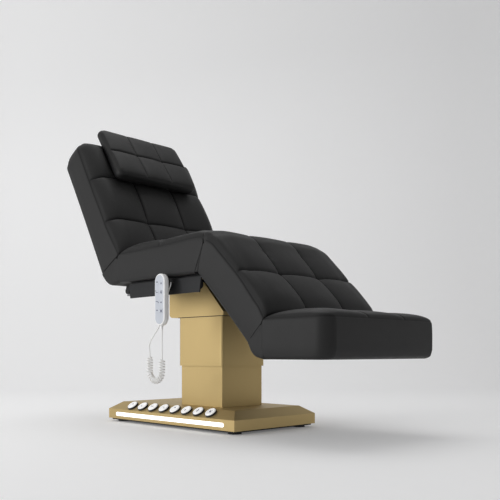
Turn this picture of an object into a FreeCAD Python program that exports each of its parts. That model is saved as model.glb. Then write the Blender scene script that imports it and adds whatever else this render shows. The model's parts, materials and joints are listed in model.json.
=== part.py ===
import FreeCAD, Part
import math
import os
from FreeCAD import Vector

# Driving dimensions of the couch, in millimetres and degrees.
bed_width = 640.0
seat_top = 712.0
seat_length = 536.0
seat_depth = 120.0
seat_rear = -290.0
back_length = 620.0
back_depth = 142.0
back_angle = 60.0
calf_length = 420.0
calf_depth = 105.0
calf_angle = 45.0
foot_length = 273.0
foot_depth = 135.0
seat_crown = 42.0
back_crown = 24.0
calf_crown = 50.0
foot_crown = 34.0
side_draw_in = 4.0
free_corner_radius = 50.0
cushion_edge_radius = 12.0
back_top_radius = 36.0
hinge_drop = 16.0
hinge_pin_diameter = 10.0
hinge_lug_radius = 13.0
cushion_gap = 1.5
back_reach = 15.0
knee_seat_lean = 25.0
knee_calf_lean = 29.0
gusset_wall = 4.0

# Head pillow.
pillow_width = 436.0
pillow_length = 296.0
pillow_thickness = 50.0
pillow_crown = 12.0
pillow_start = 390.0
pillow_low = 35.0
pillow_tilt = 4.0

# Boards, frames and pockets inside the cushions.
board_thickness = 12.0
frame_tube = 28.0
pocket_margin = 52.0
pocket_start = 60.0
pocket_end = 54.0
seat_pocket_start = 56.0
seat_pocket_end = 88.0
calf_pocket_start = 84.0
calf_slot_lead = 28.0
plate_thickness = 8.0
plate_margin = 94.0
lane_gap = 2.0
plate_width = 26.0
lever_pin_length = 36.0
back_lever = 140.0
back_lever_middle = 37.5
leg_lever = 130.0
link_drop = 58.0
link_margin = 170.0
link_thickness = 10.0
link_width = 16.0
rail_cross_inset = 156.0

# Back and leg actuators under the seat.
actuator_tube = 40.0
actuator_rod = 20.0
actuator_gap = 4.0
motor_length = 74.0
fork_wall = 9.0
back_tube_length = 278.0
back_tube_inset = 112.0
leg_tube_length = 272.0
leg_tube_inset = 74.0
back_slack = 4.0
leg_slack = 1.0

# Plinth, lift column and head block.
base_length = 806.0
base_width = 456.0
base_shift = -87.5
base_bottom = 14.0
base_ridge = 55.0
base_top = 86.0
base_slope_run = 46.0
base_wall = 2.5
plate_height = 6.0
plate_inset = 8.0
foot_diameter = 52.0
foot_inset = 48.0
foot_stud = 12.0
column_length = 252.0
column_width = 225.0
column_wall = 4.0
column_top = 338.0
sleeve_gap = 4.5
sleeve_wall = 3.0
sleeve_bottom = 248.0
block_bottom = 449.0
block_top = 586.0
block_rear = -193.0
block_front = 143.0
block_lip = 15.0
block_slant_top = 28.0
block_corner = 18.0
block_proud = 3.0
carriage_bottom = 483.0
carriage_thickness = 8.0
lift_tube_diameter = 80.0
lift_rod_diameter = 50.0
lift_overlap = 60.0
lift_up = 60.0
lift_down = 130.0
lift_motor_height = 110.0

# Tilting of the seat on the carriage.
tilt_x = -160.0
tilt_z = 560.0
tilt_reach = 12.0
tilt_pin_diameter = 16.0
tilt_arm = 160.0
tilt_tube_diameter = 44.0
tilt_rod_diameter = 18.0
tilt_lug_lane = 60.0
rod_eye_width = 24.0

# Control box and mains inlet.
control_rear = -440.0
control_length = 170.0
control_width = 150.0
control_height = 56.0
inlet_width = 30.0
inlet_height = 24.0
inlet_depth = 26.0

# Foot switches and light strip.
button_count = 8
button_pitch = 72.0
button_cap = 44.0
button_flange = 48.0
button_flange_height = 7.0
button_barrel = 38.0
button_barrel_length = 18.0
button_recess = 4.2
button_cap_height = 5.0
button_travel = 2.5
button_stem = 12.0
light_length = 693.0
light_height = 16.0
light_proud = 1.0

# Handset, rails, hook and gland.
rail_height = 66.0
rail_wall = 5.0
rail_inset = 26.0
rail_rear_inset = 44.0
rail_front_inset = 38.0
rail_slope = 10.0
rail_flange = 46.0
rail_shadow = 8.0
rail_recess = 14.0
handset_length = 198.0
handset_width = 62.0
handset_thickness = 24.0
handset_x = 28.0
handset_top = 603.0
handset_gap = 3.0
handset_edge = 8.0
overlay_thickness = 0.8
overlay_margin = 1.5
hook_width = 16.0
hook_height = 28.0
gland_x = 47.0
gland_width = 16.0
gland_depth = 20.0
gland_low = 572.0

# Handset cord: curls of the hanging loop, then the tail as points of X, reach past the cushion's side, and Z.
cord_diameter = 5.0
curl_diameter = 25.0
curl_turns = 22
curl_ramp = 1.0
loop_lead_x = 28.0
loop_radius = 38.0
loop_lead_top = 280.0
loop_lead_leg = 48.0
loop_tail_leg = 58.0
tail_route = [
    (-50, 15, 315),
    (-54, 14, 331),
    (-46, 11, 350),
    (-32, 6, 371),
    (-15, -2, 398),
    (-1, -8.5, 433),
    (11, -11.5, 472),
    (21, -13, 512),
    (35, -13, 543),
    (46, -13, 559),
]

# Shares and counts.
channel_share = 0.4
knee_share = 0.75
seat_row_shares = (0, 0.5, 1)
back_row_shares = (0, 0.294, 0.676, 1)
calf_row_shares = (0, 0.5, 1)
foot_row_shares = (0, 1)
back_cross_shares = (0.2, 0.6, 1)
calf_cross_shares = (0.1, 0.5, 1)
foot_cross_shares = (0, 1)
saddle_shares = (0.2, 0.7)
plate_rise_shares = (0.8, 0.7)
fold_inner_share = 1.6
stadium_share = 0.96
cap_round_share = 0.45
socket_share = 0.7
hook_share = 0.75
bend_share = 0.45
points_per_turn = 48
tangent_steps = 400
gap_turns = 3

# Fits shared by every piece.
running_fit = 0.3
pocket_fit = 1.0
lane_room = 3.0
link_room = 4.0
cut_overrun = 2.0
straight_limit = 1e-6

# Places that follow from the dimensions.
half_width = bed_width / 2
origin = Vector(0, 0, 0)
axis_x = Vector(1, 0, 0)
axis_y = Vector(0, 1, 0)
axis_z = Vector(0, 0, 1)
seat_bottom = seat_top - seat_depth
back_hinge = Vector(seat_rear, 0, seat_top - hinge_drop)
knee_hinge = Vector(seat_rear + seat_length, 0, seat_top - hinge_drop)
calf_run = Vector(math.cos(math.radians(calf_angle)), 0, -math.sin(math.radians(calf_angle)))
bend_hinge = knee_hinge + calf_run * calf_length
plate_lane = half_width - plate_margin
lug_lane = plate_lane - plate_thickness - lane_gap
link_lane = half_width - link_margin
nip_angle = math.radians((back_angle + back_reach) / 2)
back_nip = hinge_drop * math.tan(nip_angle) + cushion_gap
bend_nip = hinge_drop * math.tan(math.radians(calf_angle / 2)) + cushion_gap
seat_floor = hinge_drop - seat_depth
seat_frame_top = seat_floor + frame_tube
tilt_cross = tilt_x - seat_rear - frame_tube / 2
rod_cross = tilt_x + tilt_arm - seat_rear - frame_tube / 2
rail_cross = seat_length - rail_cross_inset
rail_rear = seat_rear + rail_rear_inset
rail_front = knee_hinge.x - rail_front_inset
pin_lane = plate_lane - lever_pin_length / 2
actuator_z = seat_bottom - actuator_gap - actuator_tube / 2
back_pin_angle = math.radians(back_angle - back_lever_middle)
back_pin_x = back_hinge.x - back_lever * math.sin(back_pin_angle)
back_pin_low = back_hinge.z - back_lever
leg_pin_angle = math.radians(calf_angle / 2)
leg_pin_x = knee_hinge.x - leg_lever * math.sin(leg_pin_angle)
leg_pin_low = knee_hinge.z - leg_lever
slope_angle = math.atan2(base_top - base_ridge, base_slope_run)
handset_back = -half_width - handset_gap
handset_front = handset_back - handset_thickness
handset_low = handset_top - handset_length
cord_y = handset_back - handset_thickness / 2
loop_length = loop_lead_leg + math.pi * loop_radius + loop_tail_leg
nodes = {}


# Basic shapes.
def box(low, high):
    size = [b - a for a, b in zip(low, high)]
    return Part.makeBox(size[0], size[1], size[2], Vector(*low))


def rod_along(axis, radius, start, length):
    return Part.makeCylinder(radius, length, start, axis)


def in_side(point):
    return Vector(point[0], 0, point[1])


def in_front(point):
    return Vector(0, point[0], point[1])


def in_plan(point):
    return Vector(point[0], point[1], 0)


def face_of(place, start, steps):
    edges = []
    last = start
    for step in steps:
        if isinstance(step[0], tuple):
            middle, end = step
            edges.append(Part.Arc(place(last), place(middle), place(end)).toShape())
        else:
            end = step
            edges.append(Part.LineSegment(place(last), place(end)).toShape())
        last = end
    return Part.Face(Part.Wire(edges))


def prism(place, start, steps, low, high):
    axis = {in_side: axis_y, in_front: axis_x, in_plan: axis_z}[place]
    face = face_of(place, start, steps)
    face.translate(axis * low)
    return face.extrude(axis * (high - low))


def rounded(points, radii):
    """Turn a polygon into a start point and steps with tangent corner arcs."""
    steps = []
    count = len(points)
    for i, corner in enumerate(points):
        radius = radii[i]
        if radius <= 0:
            steps.append(corner)
            continue
        here = Vector(corner[0], corner[1], 0)
        before = Vector(*points[i - 1], 0) - here
        after = Vector(*points[(i + 1) % count], 0) - here
        before.normalize()
        after.normalize()
        half = before.getAngle(after) / 2
        reach = radius / math.tan(half)
        bisector = before + after
        bisector.normalize()
        middle = here + bisector * (radius / math.sin(half) - radius)
        first = here + before * reach
        second = here + after * reach
        steps.append((first.x, first.y))
        steps.append(((middle.x, middle.y), (second.x, second.y)))
    last = steps[-1][1] if isinstance(steps[-1][0], tuple) else steps[-1]
    return last, steps


def rounded_prism(place, points, radii, low, high):
    start, steps = rounded(points, radii)
    return prism(place, start, steps, low, high)


def rectangle(x_low, x_high, y_low, y_high):
    return [(x_low, y_low), (x_high, y_low), (x_high, y_high), (x_low, y_high)]


def joined(shapes):
    return shapes[0].multiFuse(shapes[1:]).removeSplitter()


def keep(name, shape):
    nodes[name] = shape


def in_back(shape):
    turned = shape.mirror(origin, axis_x)
    turned.rotate(origin, axis_y, back_angle)
    turned.translate(back_hinge)
    return turned


def in_seat(shape):
    moved = shape.copy()
    moved.translate(back_hinge)
    return moved


def in_calf(shape):
    turned = shape.copy()
    turned.rotate(origin, axis_y, calf_angle)
    turned.translate(knee_hinge)
    return turned


def in_foot(shape):
    moved = shape.copy()
    moved.translate(bend_hinge)
    return moved


# Cushions, with the hinge line at the origin and the section along X.
def lobe_steps(breaks, top, crown, start_share):
    """Crowned arcs from the last break back to the first, sewn down at each break."""
    steps = []
    last = len(breaks) - 2
    for i in range(last, -1, -1):
        middle = (breaks[i] + breaks[i + 1]) / 2
        level = top + crown * (start_share if i == 0 else channel_share)
        steps.append(((middle, top + crown), (breaks[i], level)))
    return steps


def cushion(length, depth, crown, row_shares, hinge_start, hinge_end, free_radius):
    """Padded block; each hinged end has its nip, its lean and the share of the crown it keeps."""
    start_nip, start_lean, start_share = hinge_start
    end_nip, end_lean, end_share = hinge_end
    top = hinge_drop
    bottom = top - depth
    lean_in = -bottom * math.tan(math.radians(start_lean))
    lean_out = -bottom * math.tan(math.radians(end_lean))
    low_start = (cushion_gap + lean_in, bottom)
    steps = []
    if free_radius > 0:
        edge = cushion_edge_radius
        bulge = edge * (1 - math.sqrt(0.5))
        big = free_radius * (1 - math.sqrt(0.5))
        steps.append((length - free_radius, bottom))
        steps.append(((length - big, bottom + big), (length, bottom + free_radius)))
        steps.append((length, top - edge))
        steps.append(((length - bulge, top - bulge), (length - edge, top)))
        last_break = length - edge
    else:
        last_break = length - end_nip
        steps.append((length - cushion_gap - lean_out, bottom))
        steps.append((length - cushion_gap, 0))
        steps.append((last_break, top + crown * end_share))
    breaks = [start_nip + share * (last_break - start_nip) for share in row_shares]
    steps += lobe_steps(breaks, top, crown, start_share)
    steps += [(cushion_gap, 0), low_start]
    wide = half_width + pocket_fit
    side = prism(in_side, low_start, steps, -wide, wide)
    thirds = [-wide, -half_width / 3, half_width / 3, wide]
    edge = cushion_edge_radius
    bulge = edge * (1 - math.sqrt(0.5))
    start = (-wide, bottom + edge)
    steps = [
        ((-wide + bulge, bottom + bulge), (-wide + edge, bottom)),
        (wide - edge, bottom),
        ((wide - bulge, bottom + bulge), (wide, bottom + edge)),
        (wide, top),
    ]
    steps += lobe_steps(thirds, top, crown, 0)
    steps.append(start)
    front = prism(in_front, start, steps, -length, length * 2)
    corner = free_corner_radius if free_radius > 0 else 0
    pull = half_width - side_draw_in
    middle = length / 2
    bulge = corner * (1 - math.sqrt(0.5))
    start = (0, -half_width)
    steps = [((middle, -pull), (length - corner, -half_width))]
    if corner > 0:
        steps.append(((length - bulge, -half_width + bulge), (length, -half_width + corner)))
    steps.append((length, half_width - corner))
    if corner > 0:
        steps.append(((length - bulge, half_width - bulge), (length - corner, half_width)))
    steps.append(((middle, pull), (0, half_width)))
    steps.append(start)
    plan = prism(in_plan, start, steps, bottom - crown, top + crown * 2)
    return plan.common(side).common(front)


def pocket_of(length, depth, start, end):
    """Hollow under a cushion that takes its frame and board."""
    bottom = hinge_drop - depth
    wide = half_width - pocket_margin
    rise = board_thickness + frame_tube + pocket_fit
    return box((start, -wide, bottom - cut_overrun), (length - end, wide, bottom + rise))


def plate_end(start):
    """How far a hinge plate reaches from its hinge when its frame starts at a pocket's end."""
    return start + pocket_fit + frame_tube * 2


def lane_slots(depth, start, end):
    """Slots for the hinge plates and lugs at one end of a cushion."""
    bottom = hinge_drop - depth
    inner = lug_lane - lane_room
    outer = plate_lane + plate_thickness + lane_room
    slots = []
    for low, high in ((inner, outer), (-outer, -inner)):
        slots.append(box((start, low, bottom - cut_overrun), (end, high, hinge_drop - pocket_fit)))
    return slots


def hinge_plates(lane, hinge_x, points):
    """A pair of steel plates that carry a hinge eye, one at each side."""
    plates = []
    for side in (1, -1):
        low = lane if side > 0 else -lane - plate_thickness
        high = low + plate_thickness
        blank = prism(in_side, points[0], points[1:] + [points[0]], low, high)
        eye = rod_along(axis_y, hinge_lug_radius, Vector(hinge_x, low, 0), plate_thickness)
        plates.append(blank.fuse(eye))
    return plates


def hinge_bores(hinge_x):
    radius = hinge_pin_diameter / 2 + running_fit
    return rod_along(axis_y, radius, Vector(hinge_x, -half_width, 0), bed_width)


def hinge_pins(hinge_x):
    pins = []
    low = lug_lane - running_fit
    length = plate_lane + plate_thickness - lug_lane + running_fit * 2
    for side in (1, -1):
        start = low if side > 0 else -low - length
        pins.append(rod_along(axis_y, hinge_pin_diameter / 2, Vector(hinge_x, start, 0), length))
    return Part.Compound(pins)


# Sections: cushion, board and frame of each, all in hinge coordinates.
def section_board(length, depth, start, end):
    low = hinge_drop - depth + pocket_fit
    wide = half_width - pocket_margin - pocket_fit
    corner_points = rectangle(start + pocket_fit, length - end - pocket_fit, -wide, wide)
    return rounded_prism(in_plan, corner_points, [cushion_edge_radius] * 4, low, low + board_thickness)


def section_frame(length, depth, start, end, cross_shares):
    """Two long tubes and cross tubes that lie on the board in the pocket."""
    low = hinge_drop - depth + pocket_fit + board_thickness
    high = low + frame_tube - pocket_fit
    inner = plate_lane + plate_thickness
    first = start + pocket_fit
    last = length - end - pocket_fit
    bars = []
    for side in (1, -1):
        near = inner if side > 0 else -inner - frame_tube
        bars.append(box((first, near, low), (last, near + frame_tube, high)))
    for share in cross_shares:
        at = first + share * (last - first - frame_tube)
        bars.append(box((at, -inner, low), (at + frame_tube, inner, high)))
    return bars, low, high


def start_plate_points(low, high, start):
    """Outline of a plate from the hinge eye to the frame tubes behind it."""
    r = hinge_lug_radius
    rear_share, front_share = plate_rise_shares
    end = start + frame_tube * 2
    return [(-r / 2, r * rear_share), (r, r * front_share), (end, high), (end, low), (start, low), (0, -r)]


def lever_prism(angle, length, side):
    """A lever arm from the hinge eye at an angle from straight down, with its end boss."""
    low = plate_lane if side > 0 else -plate_lane - plate_thickness
    arm = box((-plate_width / 2, low, -length), (plate_width / 2, low + plate_thickness, 0))
    boss = rod_along(axis_y, plate_width / 2, Vector(0, low, -length), plate_thickness)
    start = low - lever_pin_length if side > 0 else low
    pin_run = lever_pin_length + plate_thickness
    pin = rod_along(axis_y, hinge_pin_diameter / 2, Vector(0, start, -length), pin_run)
    lever = joined([arm, boss, pin])
    lever.rotate(origin, axis_y, angle)
    return lever


def arm_plate(points, eye_x, eye_z):
    """A plate in the link lane with an eye pin that carries the levelling link."""
    low = link_lane - plate_thickness - running_fit
    blank = prism(in_side, points[0], points[1:] + [points[0]], low, low + plate_thickness)
    eye = rod_along(axis_y, link_width / 2, Vector(eye_x, low, eye_z), plate_thickness)
    pin_length = plate_thickness + link_thickness + running_fit
    pin = rod_along(axis_y, hinge_pin_diameter / 2, Vector(eye_x, low, eye_z), pin_length)
    return joined([blank, eye, pin])


def link_slot(depth, start, end, high):
    low = link_lane - plate_thickness - link_room
    wide = link_lane + link_thickness + link_room
    return box((start, low, hinge_drop - depth - cut_overrun), (end, wide, high))


def seat_lug(centre, near, eye_z):
    """A lug that hangs from the seat frame with an eye at its lower end."""
    half = frame_tube / 2
    lug = box((centre - half, near, eye_z), (centre + half, near + plate_thickness, seat_floor))
    return lug.fuse(rod_along(axis_y, half, Vector(centre, near, eye_z), plate_thickness))


# Seat section.
def make_seat():
    knee_end = (cushion_gap, knee_seat_lean, knee_share)
    body = cushion(seat_length, seat_depth, seat_crown, seat_row_shares, (back_nip, 0, 0), knee_end, 0)
    hollow = pocket_of(seat_length, seat_depth, seat_pocket_start, seat_pocket_end)
    slots = lane_slots(seat_depth, -cut_overrun, plate_end(seat_pocket_start) + pocket_fit)
    front_start = seat_length - plate_end(seat_pocket_end) - pocket_fit
    slots += lane_slots(seat_depth, front_start, seat_length + cut_overrun)
    arm_slot = link_slot(seat_depth, front_start, seat_length + cut_overrun, -link_drop + link_width)
    keep("seat_cushion", in_seat(body.cut(Part.Compound([hollow, arm_slot] + slots))))

    wide = half_width - pocket_margin - pocket_fit
    first = seat_pocket_start + pocket_fit
    last = seat_length - seat_pocket_end - pocket_fit
    board = box((first, -wide, seat_frame_top), (last, wide, seat_frame_top + board_thickness))
    keep("seat_board", in_seat(board.cut(Part.Compound(slots + [arm_slot]))))

    tube_in = lug_lane - frame_tube
    bars = []
    for side in (1, -1):
        near = tube_in if side > 0 else -lug_lane
        bars.append(box((first, near, seat_floor), (last, near + frame_tube, seat_frame_top)))
    for at in (first, rod_cross, last - frame_tube):
        bars.append(box((at, -tube_in, seat_floor), (at + frame_tube, tube_in, seat_frame_top)))
    rail_reach = half_width - pocket_margin - cushion_edge_radius / 2
    for at in (tilt_cross, rail_cross):
        bars.append(box((at, -rail_reach, seat_floor), (at + frame_tube, rail_reach, seat_frame_top)))
    bars += hinge_plates(lug_lane, 0, start_plate_points(seat_floor, seat_frame_top, first))
    outline = start_plate_points(seat_floor, seat_frame_top, seat_length - last)
    bars += hinge_plates(lug_lane, seat_length, [(seat_length - x, z) for x, z in outline])
    tilt_low = tilt_z - back_hinge.z
    for side in (1, -1):
        near = tilt_lug_lane if side > 0 else -tilt_lug_lane - plate_thickness
        bars.append(seat_lug(tilt_x - seat_rear, near, tilt_low))
        lane = rod_eye_width / 2 + running_fit
        near = lane if side > 0 else -lane - plate_thickness
        bars.append(seat_lug(tilt_x + tilt_arm - seat_rear, near, tilt_low))
    arm_points = [
        (last - frame_tube, seat_floor),
        (last, seat_floor),
        (seat_length + link_width / 2, -link_drop),
        (seat_length, -link_drop + link_width / 2),
        (last - frame_tube, seat_frame_top),
    ]
    bars.append(arm_plate(arm_points, seat_length, -link_drop))
    frame = joined(bars)
    cuts = [hinge_bores(0), hinge_bores(seat_length)]
    reach = tilt_lug_lane + plate_thickness * 2
    bore = tilt_pin_diameter / 2 + running_fit
    cuts.append(rod_along(axis_y, bore, Vector(tilt_x - seat_rear, -reach, tilt_low), reach * 2))
    slack = tilt_arm * (1 - math.cos(math.radians(tilt_reach)))
    slot_half = hinge_pin_diameter / 2 + running_fit * 3
    centre = tilt_x + tilt_arm - seat_rear
    low_x = centre - slot_half
    high_x = centre + slack + slot_half
    cuts.append(box((low_x, -reach, tilt_low - slot_half), (high_x, reach, tilt_low + slot_half)))
    keep("seat_frame", in_seat(frame.cut(Part.Compound(cuts))))
    keep("back_hinge_pins", in_seat(hinge_pins(0)))
    keep("knee_hinge_pins", in_seat(hinge_pins(seat_length)))


# Back section with its head pillow.
def make_back():
    crease = (back_nip, 0, 0)
    body = cushion(back_length, back_depth, back_crown, back_row_shares, crease, (0, 0, 0), back_top_radius)
    hollow = pocket_of(back_length, back_depth, pocket_start, pocket_end)
    slots = lane_slots(back_depth, -cut_overrun, plate_end(pocket_start) + pocket_fit)
    room = on_pillow(pillow_plan(running_fit, -running_fit, pillow_thickness))
    keep("back_cushion", in_back(body.cut(Part.Compound([hollow] + slots)).cut(room)))
    board = section_board(back_length, back_depth, pocket_start, pocket_end)
    keep("back_board", in_back(board.cut(Part.Compound(slots))))
    bars, low, high = section_frame(back_length, back_depth, pocket_start, pocket_end, back_cross_shares)
    bars += hinge_plates(plate_lane, 0, start_plate_points(low, high, pocket_start + pocket_fit))
    bars.append(lever_prism(back_lever_middle, back_lever, -1))
    keep("back_frame", in_back(joined(bars).cut(hinge_bores(0))))
    keep("head_pillow", in_back(on_pillow(pillow_pad())))


def on_pillow(shape):
    """Lay a pillow shape, which starts at the origin, on the back's padded face."""
    turned = shape.copy()
    turned.rotate(origin, axis_y, pillow_tilt)
    turned.translate(Vector(pillow_start, 0, pillow_low))
    return turned


def pillow_plan(extra, low, high):
    half = pillow_width / 2 + extra
    points = rectangle(-extra, pillow_length + extra, -half, half)
    return rounded_prism(in_plan, points, [pillow_thickness / 2] * 4, low, high)


def pillow_pad():
    edge = pillow_thickness / 4
    top = pillow_thickness - pillow_crown
    bulge = edge * (1 - math.sqrt(0.5))

    def outline(first, last, count):
        breaks = [first + edge + (last - first - edge * 2) * i / count for i in range(count + 1)]
        start = (first + edge, 0)
        steps = [
            (last - edge, 0),
            ((last - bulge, bulge), (last, edge)),
            (last, top - edge),
            ((last - bulge, top - bulge), (last - edge, top)),
        ]
        steps += lobe_steps(breaks, top, pillow_crown, 0)
        steps += [
            ((first + bulge, top - bulge), (first, top - edge)),
            (first, edge),
            ((first + bulge, bulge), start),
        ]
        return start, steps

    half = pillow_width / 2
    wide = half + pocket_fit
    start, steps = outline(0, pillow_length, 2)
    side = prism(in_side, start, steps, -wide, wide)
    start, steps = outline(-half, half, 3)
    front = prism(in_front, start, steps, -pocket_fit, pillow_length + pocket_fit)
    plan = pillow_plan(-running_fit, -pocket_fit, pillow_thickness + pocket_fit)
    return plan.common(side).common(front)


# Calf section with its levelling link.
def make_calf():
    knee_end = (cushion_gap, knee_calf_lean, knee_share)
    body = cushion(calf_length, calf_depth, calf_crown, calf_row_shares, knee_end, (bend_nip, 0, 0), 0)
    hollow = pocket_of(calf_length, calf_depth, calf_pocket_start, pocket_end)
    slots = lane_slots(calf_depth, -calf_slot_lead, plate_end(calf_pocket_start) + pocket_fit)
    end_start = calf_length - plate_end(pocket_end) - pocket_fit
    slots += lane_slots(calf_depth, end_start, calf_length + cut_overrun)
    lane = link_slot(calf_depth, -calf_length, calf_length * 2, -link_drop / 2)
    keep("calf_cushion", in_calf(body.cut(Part.Compound([hollow, lane] + slots))))
    board = section_board(calf_length, calf_depth, calf_pocket_start, pocket_end)
    keep("calf_board", in_calf(board.cut(Part.Compound(slots))))
    bars, low, high = section_frame(calf_length, calf_depth, calf_pocket_start, pocket_end, calf_cross_shares)
    bars += hinge_plates(plate_lane, 0, start_plate_points(low, high, calf_pocket_start + pocket_fit))
    last = calf_length - pocket_end - pocket_fit
    lugs = [(calf_length - x, z) for x, z in start_plate_points(low, high, calf_length - last)]
    bars += hinge_plates(lug_lane, calf_length, lugs)
    bars.append(lever_prism(-calf_angle / 2, leg_lever, 1))
    frame = joined(bars)
    room = link_slot(calf_depth, -calf_length, calf_length * 2, high + cut_overrun)
    room.translate(axis_z * (low + plate_thickness - hinge_drop + calf_depth))
    cuts = Part.Compound([hinge_bores(0), hinge_bores(calf_length), room])
    keep("calf_frame", in_calf(frame.cut(cuts)))
    keep("foot_hinge_pins", in_calf(hinge_pins(calf_length)))
    bar = box((0, link_lane, -link_width / 2), (calf_length, link_lane + link_thickness, link_width / 2))
    half = link_width / 2
    ends = [rod_along(axis_y, half, Vector(x, link_lane, 0), link_thickness) for x in (0, calf_length)]
    bore = hinge_pin_diameter / 2 + running_fit
    bores = [rod_along(axis_y, bore, Vector(x, 0, 0), bed_width) for x in (0, calf_length)]
    link = in_calf(joined([bar] + ends).cut(Part.Compound(bores)))
    link.translate(axis_z * -link_drop)
    keep("leg_link", link)


# Foot section.
def make_foot():
    corner = cushion_edge_radius * 2
    body = cushion(foot_length, foot_depth, foot_crown, foot_row_shares, (bend_nip, 0, 0), (0, 0, 0), corner)
    hollow = pocket_of(foot_length, foot_depth, pocket_start, pocket_end)
    slots = lane_slots(foot_depth, -cut_overrun, plate_end(pocket_start) + pocket_fit)
    lane = link_slot(foot_depth, -cut_overrun, pocket_start + frame_tube, -link_drop + link_width)
    keep("foot_cushion", in_foot(body.cut(Part.Compound([hollow, lane] + slots))))
    board = section_board(foot_length, foot_depth, pocket_start, pocket_end)
    keep("foot_board", in_foot(board.cut(Part.Compound(slots))))
    bars, low, high = section_frame(foot_length, foot_depth, pocket_start, pocket_end, foot_cross_shares)
    bars += hinge_plates(plate_lane, 0, start_plate_points(low, high, pocket_start + pocket_fit))
    first = pocket_start + pocket_fit
    arm_points = [
        (first, low),
        (first + frame_tube, low),
        (first + frame_tube, high),
        (link_width / 4, -link_drop + link_width / 2),
        (-link_width / 2, -link_drop),
        (0, -link_drop - link_width / 2),
    ]
    bars.append(arm_plate(arm_points, 0, -link_drop))
    keep("foot_frame", in_foot(joined(bars).cut(hinge_bores(0))))


# Soft folds at the bends, each a fabric shell between two cushion ends.
def gusset(hinge, angle, front_radius, rear_radius, low_lane, high_lane):
    turn = math.radians(angle)

    def wedge(wall, half):
        inner = hinge_lug_radius * fold_inner_share + wall * 2
        shift = cushion_gap - running_fit - wall
        front = front_radius - wall
        rear = rear_radius - wall
        mean = (front + rear) / 2
        down = (math.sin(turn), math.cos(turn))
        mid = (math.sin(turn / 2), math.cos(turn / 2))
        aside = (down[1] * -shift, down[0] * shift)
        start = (shift, -inner)
        rear_low = (-down[0] * rear + aside[0], -down[1] * rear + aside[1])
        rear_top = (-down[0] * inner + aside[0], -down[1] * inner + aside[1])
        steps = [(shift, -front), ((-mid[0] * mean, -mid[1] * mean), rear_low), rear_top, start]
        return prism(in_side, start, steps, -half, half)

    half = half_width - side_draw_in
    shell = wedge(0, half).cut(wedge(gusset_wall, half - gusset_wall))
    outer = max(front_radius, rear_radius) * 2
    slot = box((-outer, low_lane, -outer), (outer, high_lane, 0))
    shell = shell.cut(slot)
    shell.translate(hinge)
    return shell


def knee_cover():
    """Cover bent over the knee, lobed across the bed like the cushions beside it."""
    half = half_width - side_draw_in
    low = hinge_lug_radius + running_fit
    start = (-half, low)
    steps = [(half, low), (half, hinge_drop)]
    thirds = [-half, -half_width / 3, half_width / 3, half]
    steps += lobe_steps(thirds, hinge_drop, seat_crown * knee_share, 0)
    steps.append(start)
    cover = face_of(in_front, start, steps).revolve(origin, axis_y, calf_angle)
    cover.translate(knee_hinge)
    return cover


def make_folds():
    inner = lug_lane - lane_room
    outer = plate_lane + plate_thickness + lane_room
    front = seat_depth - hinge_drop
    rear = back_depth - hinge_drop
    keep("back_fold", gusset(back_hinge, back_angle, front, rear, -outer, -inner))
    inner = link_lane - plate_thickness - link_room
    outer = link_lane + link_thickness + link_room
    front = foot_depth - hinge_drop
    rear = calf_depth - hinge_drop
    keep("foot_fold", gusset(bend_hinge, calf_angle, front, rear, inner, outer))
    keep("knee_fold", knee_cover())


# Actuators under the seat frame and their forked rods.
def fork_rod(name, y, pin_x, pin_low, direction, inside, slack):
    """A rod along X with an upright open fork that takes a lever pin."""
    slot = hinge_pin_diameter / 2 + running_fit + slack
    thick = lever_pin_length - plate_thickness
    z = actuator_z
    low = pin_low - hinge_pin_diameter
    high = seat_bottom - running_fit * 4
    wide = slot + fork_wall
    block = box((pin_x - wide, y - thick / 2, low), (pin_x + wide, y + thick / 2, high))
    notch = box((pin_x - slot, y - thick, pin_low - slot), (pin_x + slot, y + thick, high + cut_overrun))
    length = abs(inside - pin_x) - slot - fork_wall / 2
    start = Vector(inside, y, z) if direction > 0 else Vector(inside - length, y, z)
    rod = rod_along(axis_x, actuator_rod / 2, start, length)
    keep(name, joined([block.cut(notch), rod]))


def actuator(name, y, low_x, high_x, motor_x, motor_side, mouth_low):
    z = actuator_z
    tube = rod_along(axis_x, actuator_tube / 2, Vector(low_x, y, z), high_x - low_x)
    reach = high_x - low_x - actuator_rod
    bore = rod_along(axis_x, actuator_rod / 2 + running_fit, Vector(low_x, y, z), reach)
    if not mouth_low:
        bore.translate(axis_x * actuator_rod)
    half = actuator_tube / 2
    low_y = y - half if motor_side > 0 else y + half - motor_length
    motor = box((motor_x, low_y, z - half), (motor_x + actuator_tube, low_y + motor_length, z + half))
    saddles = []
    for share in saddle_shares:
        at = low_x + share * (high_x - low_x)
        saddles.append(box((at, y - half, z), (at + frame_tube, y + half, seat_bottom)))
    keep(name, joined([tube, motor] + saddles).cut(bore))


def make_actuators():
    low = back_hinge.x + back_tube_inset
    high = low + back_tube_length
    actuator("back_actuator", -pin_lane, low, high, low, 1, True)
    fork_rod("back_rod", -pin_lane, back_pin_x, back_pin_low, -1, low + actuator_tube, back_slack)
    high = knee_hinge.x - leg_tube_inset
    low = high - leg_tube_length
    actuator("leg_actuator", pin_lane, low, high, low, -1, False)
    fork_rod("leg_rod", pin_lane, leg_pin_x, leg_pin_low, 1, high - leg_lever, leg_slack)


# Plinth with its light strip, foot switches and inner units.
def hipped(shrink, low, ridge, top):
    half_x = base_length / 2 - shrink
    half_y = base_width / 2 - shrink
    lower = box((base_shift - half_x, -half_y, low), (base_shift + half_x, half_y, ridge))
    rings = []
    for inset, z in ((0, ridge), (base_slope_run, top)):
        reach_x = half_x - inset
        reach_y = half_y - inset
        corners = rectangle(base_shift - reach_x, base_shift + reach_x, -reach_y, reach_y)
        ring = [Vector(x, y, z) for x, y in corners]
        rings.append(Part.makePolygon(ring + ring[:1]))
    return lower.fuse(Part.makeLoft(rings, True, True)).removeSplitter()


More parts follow.
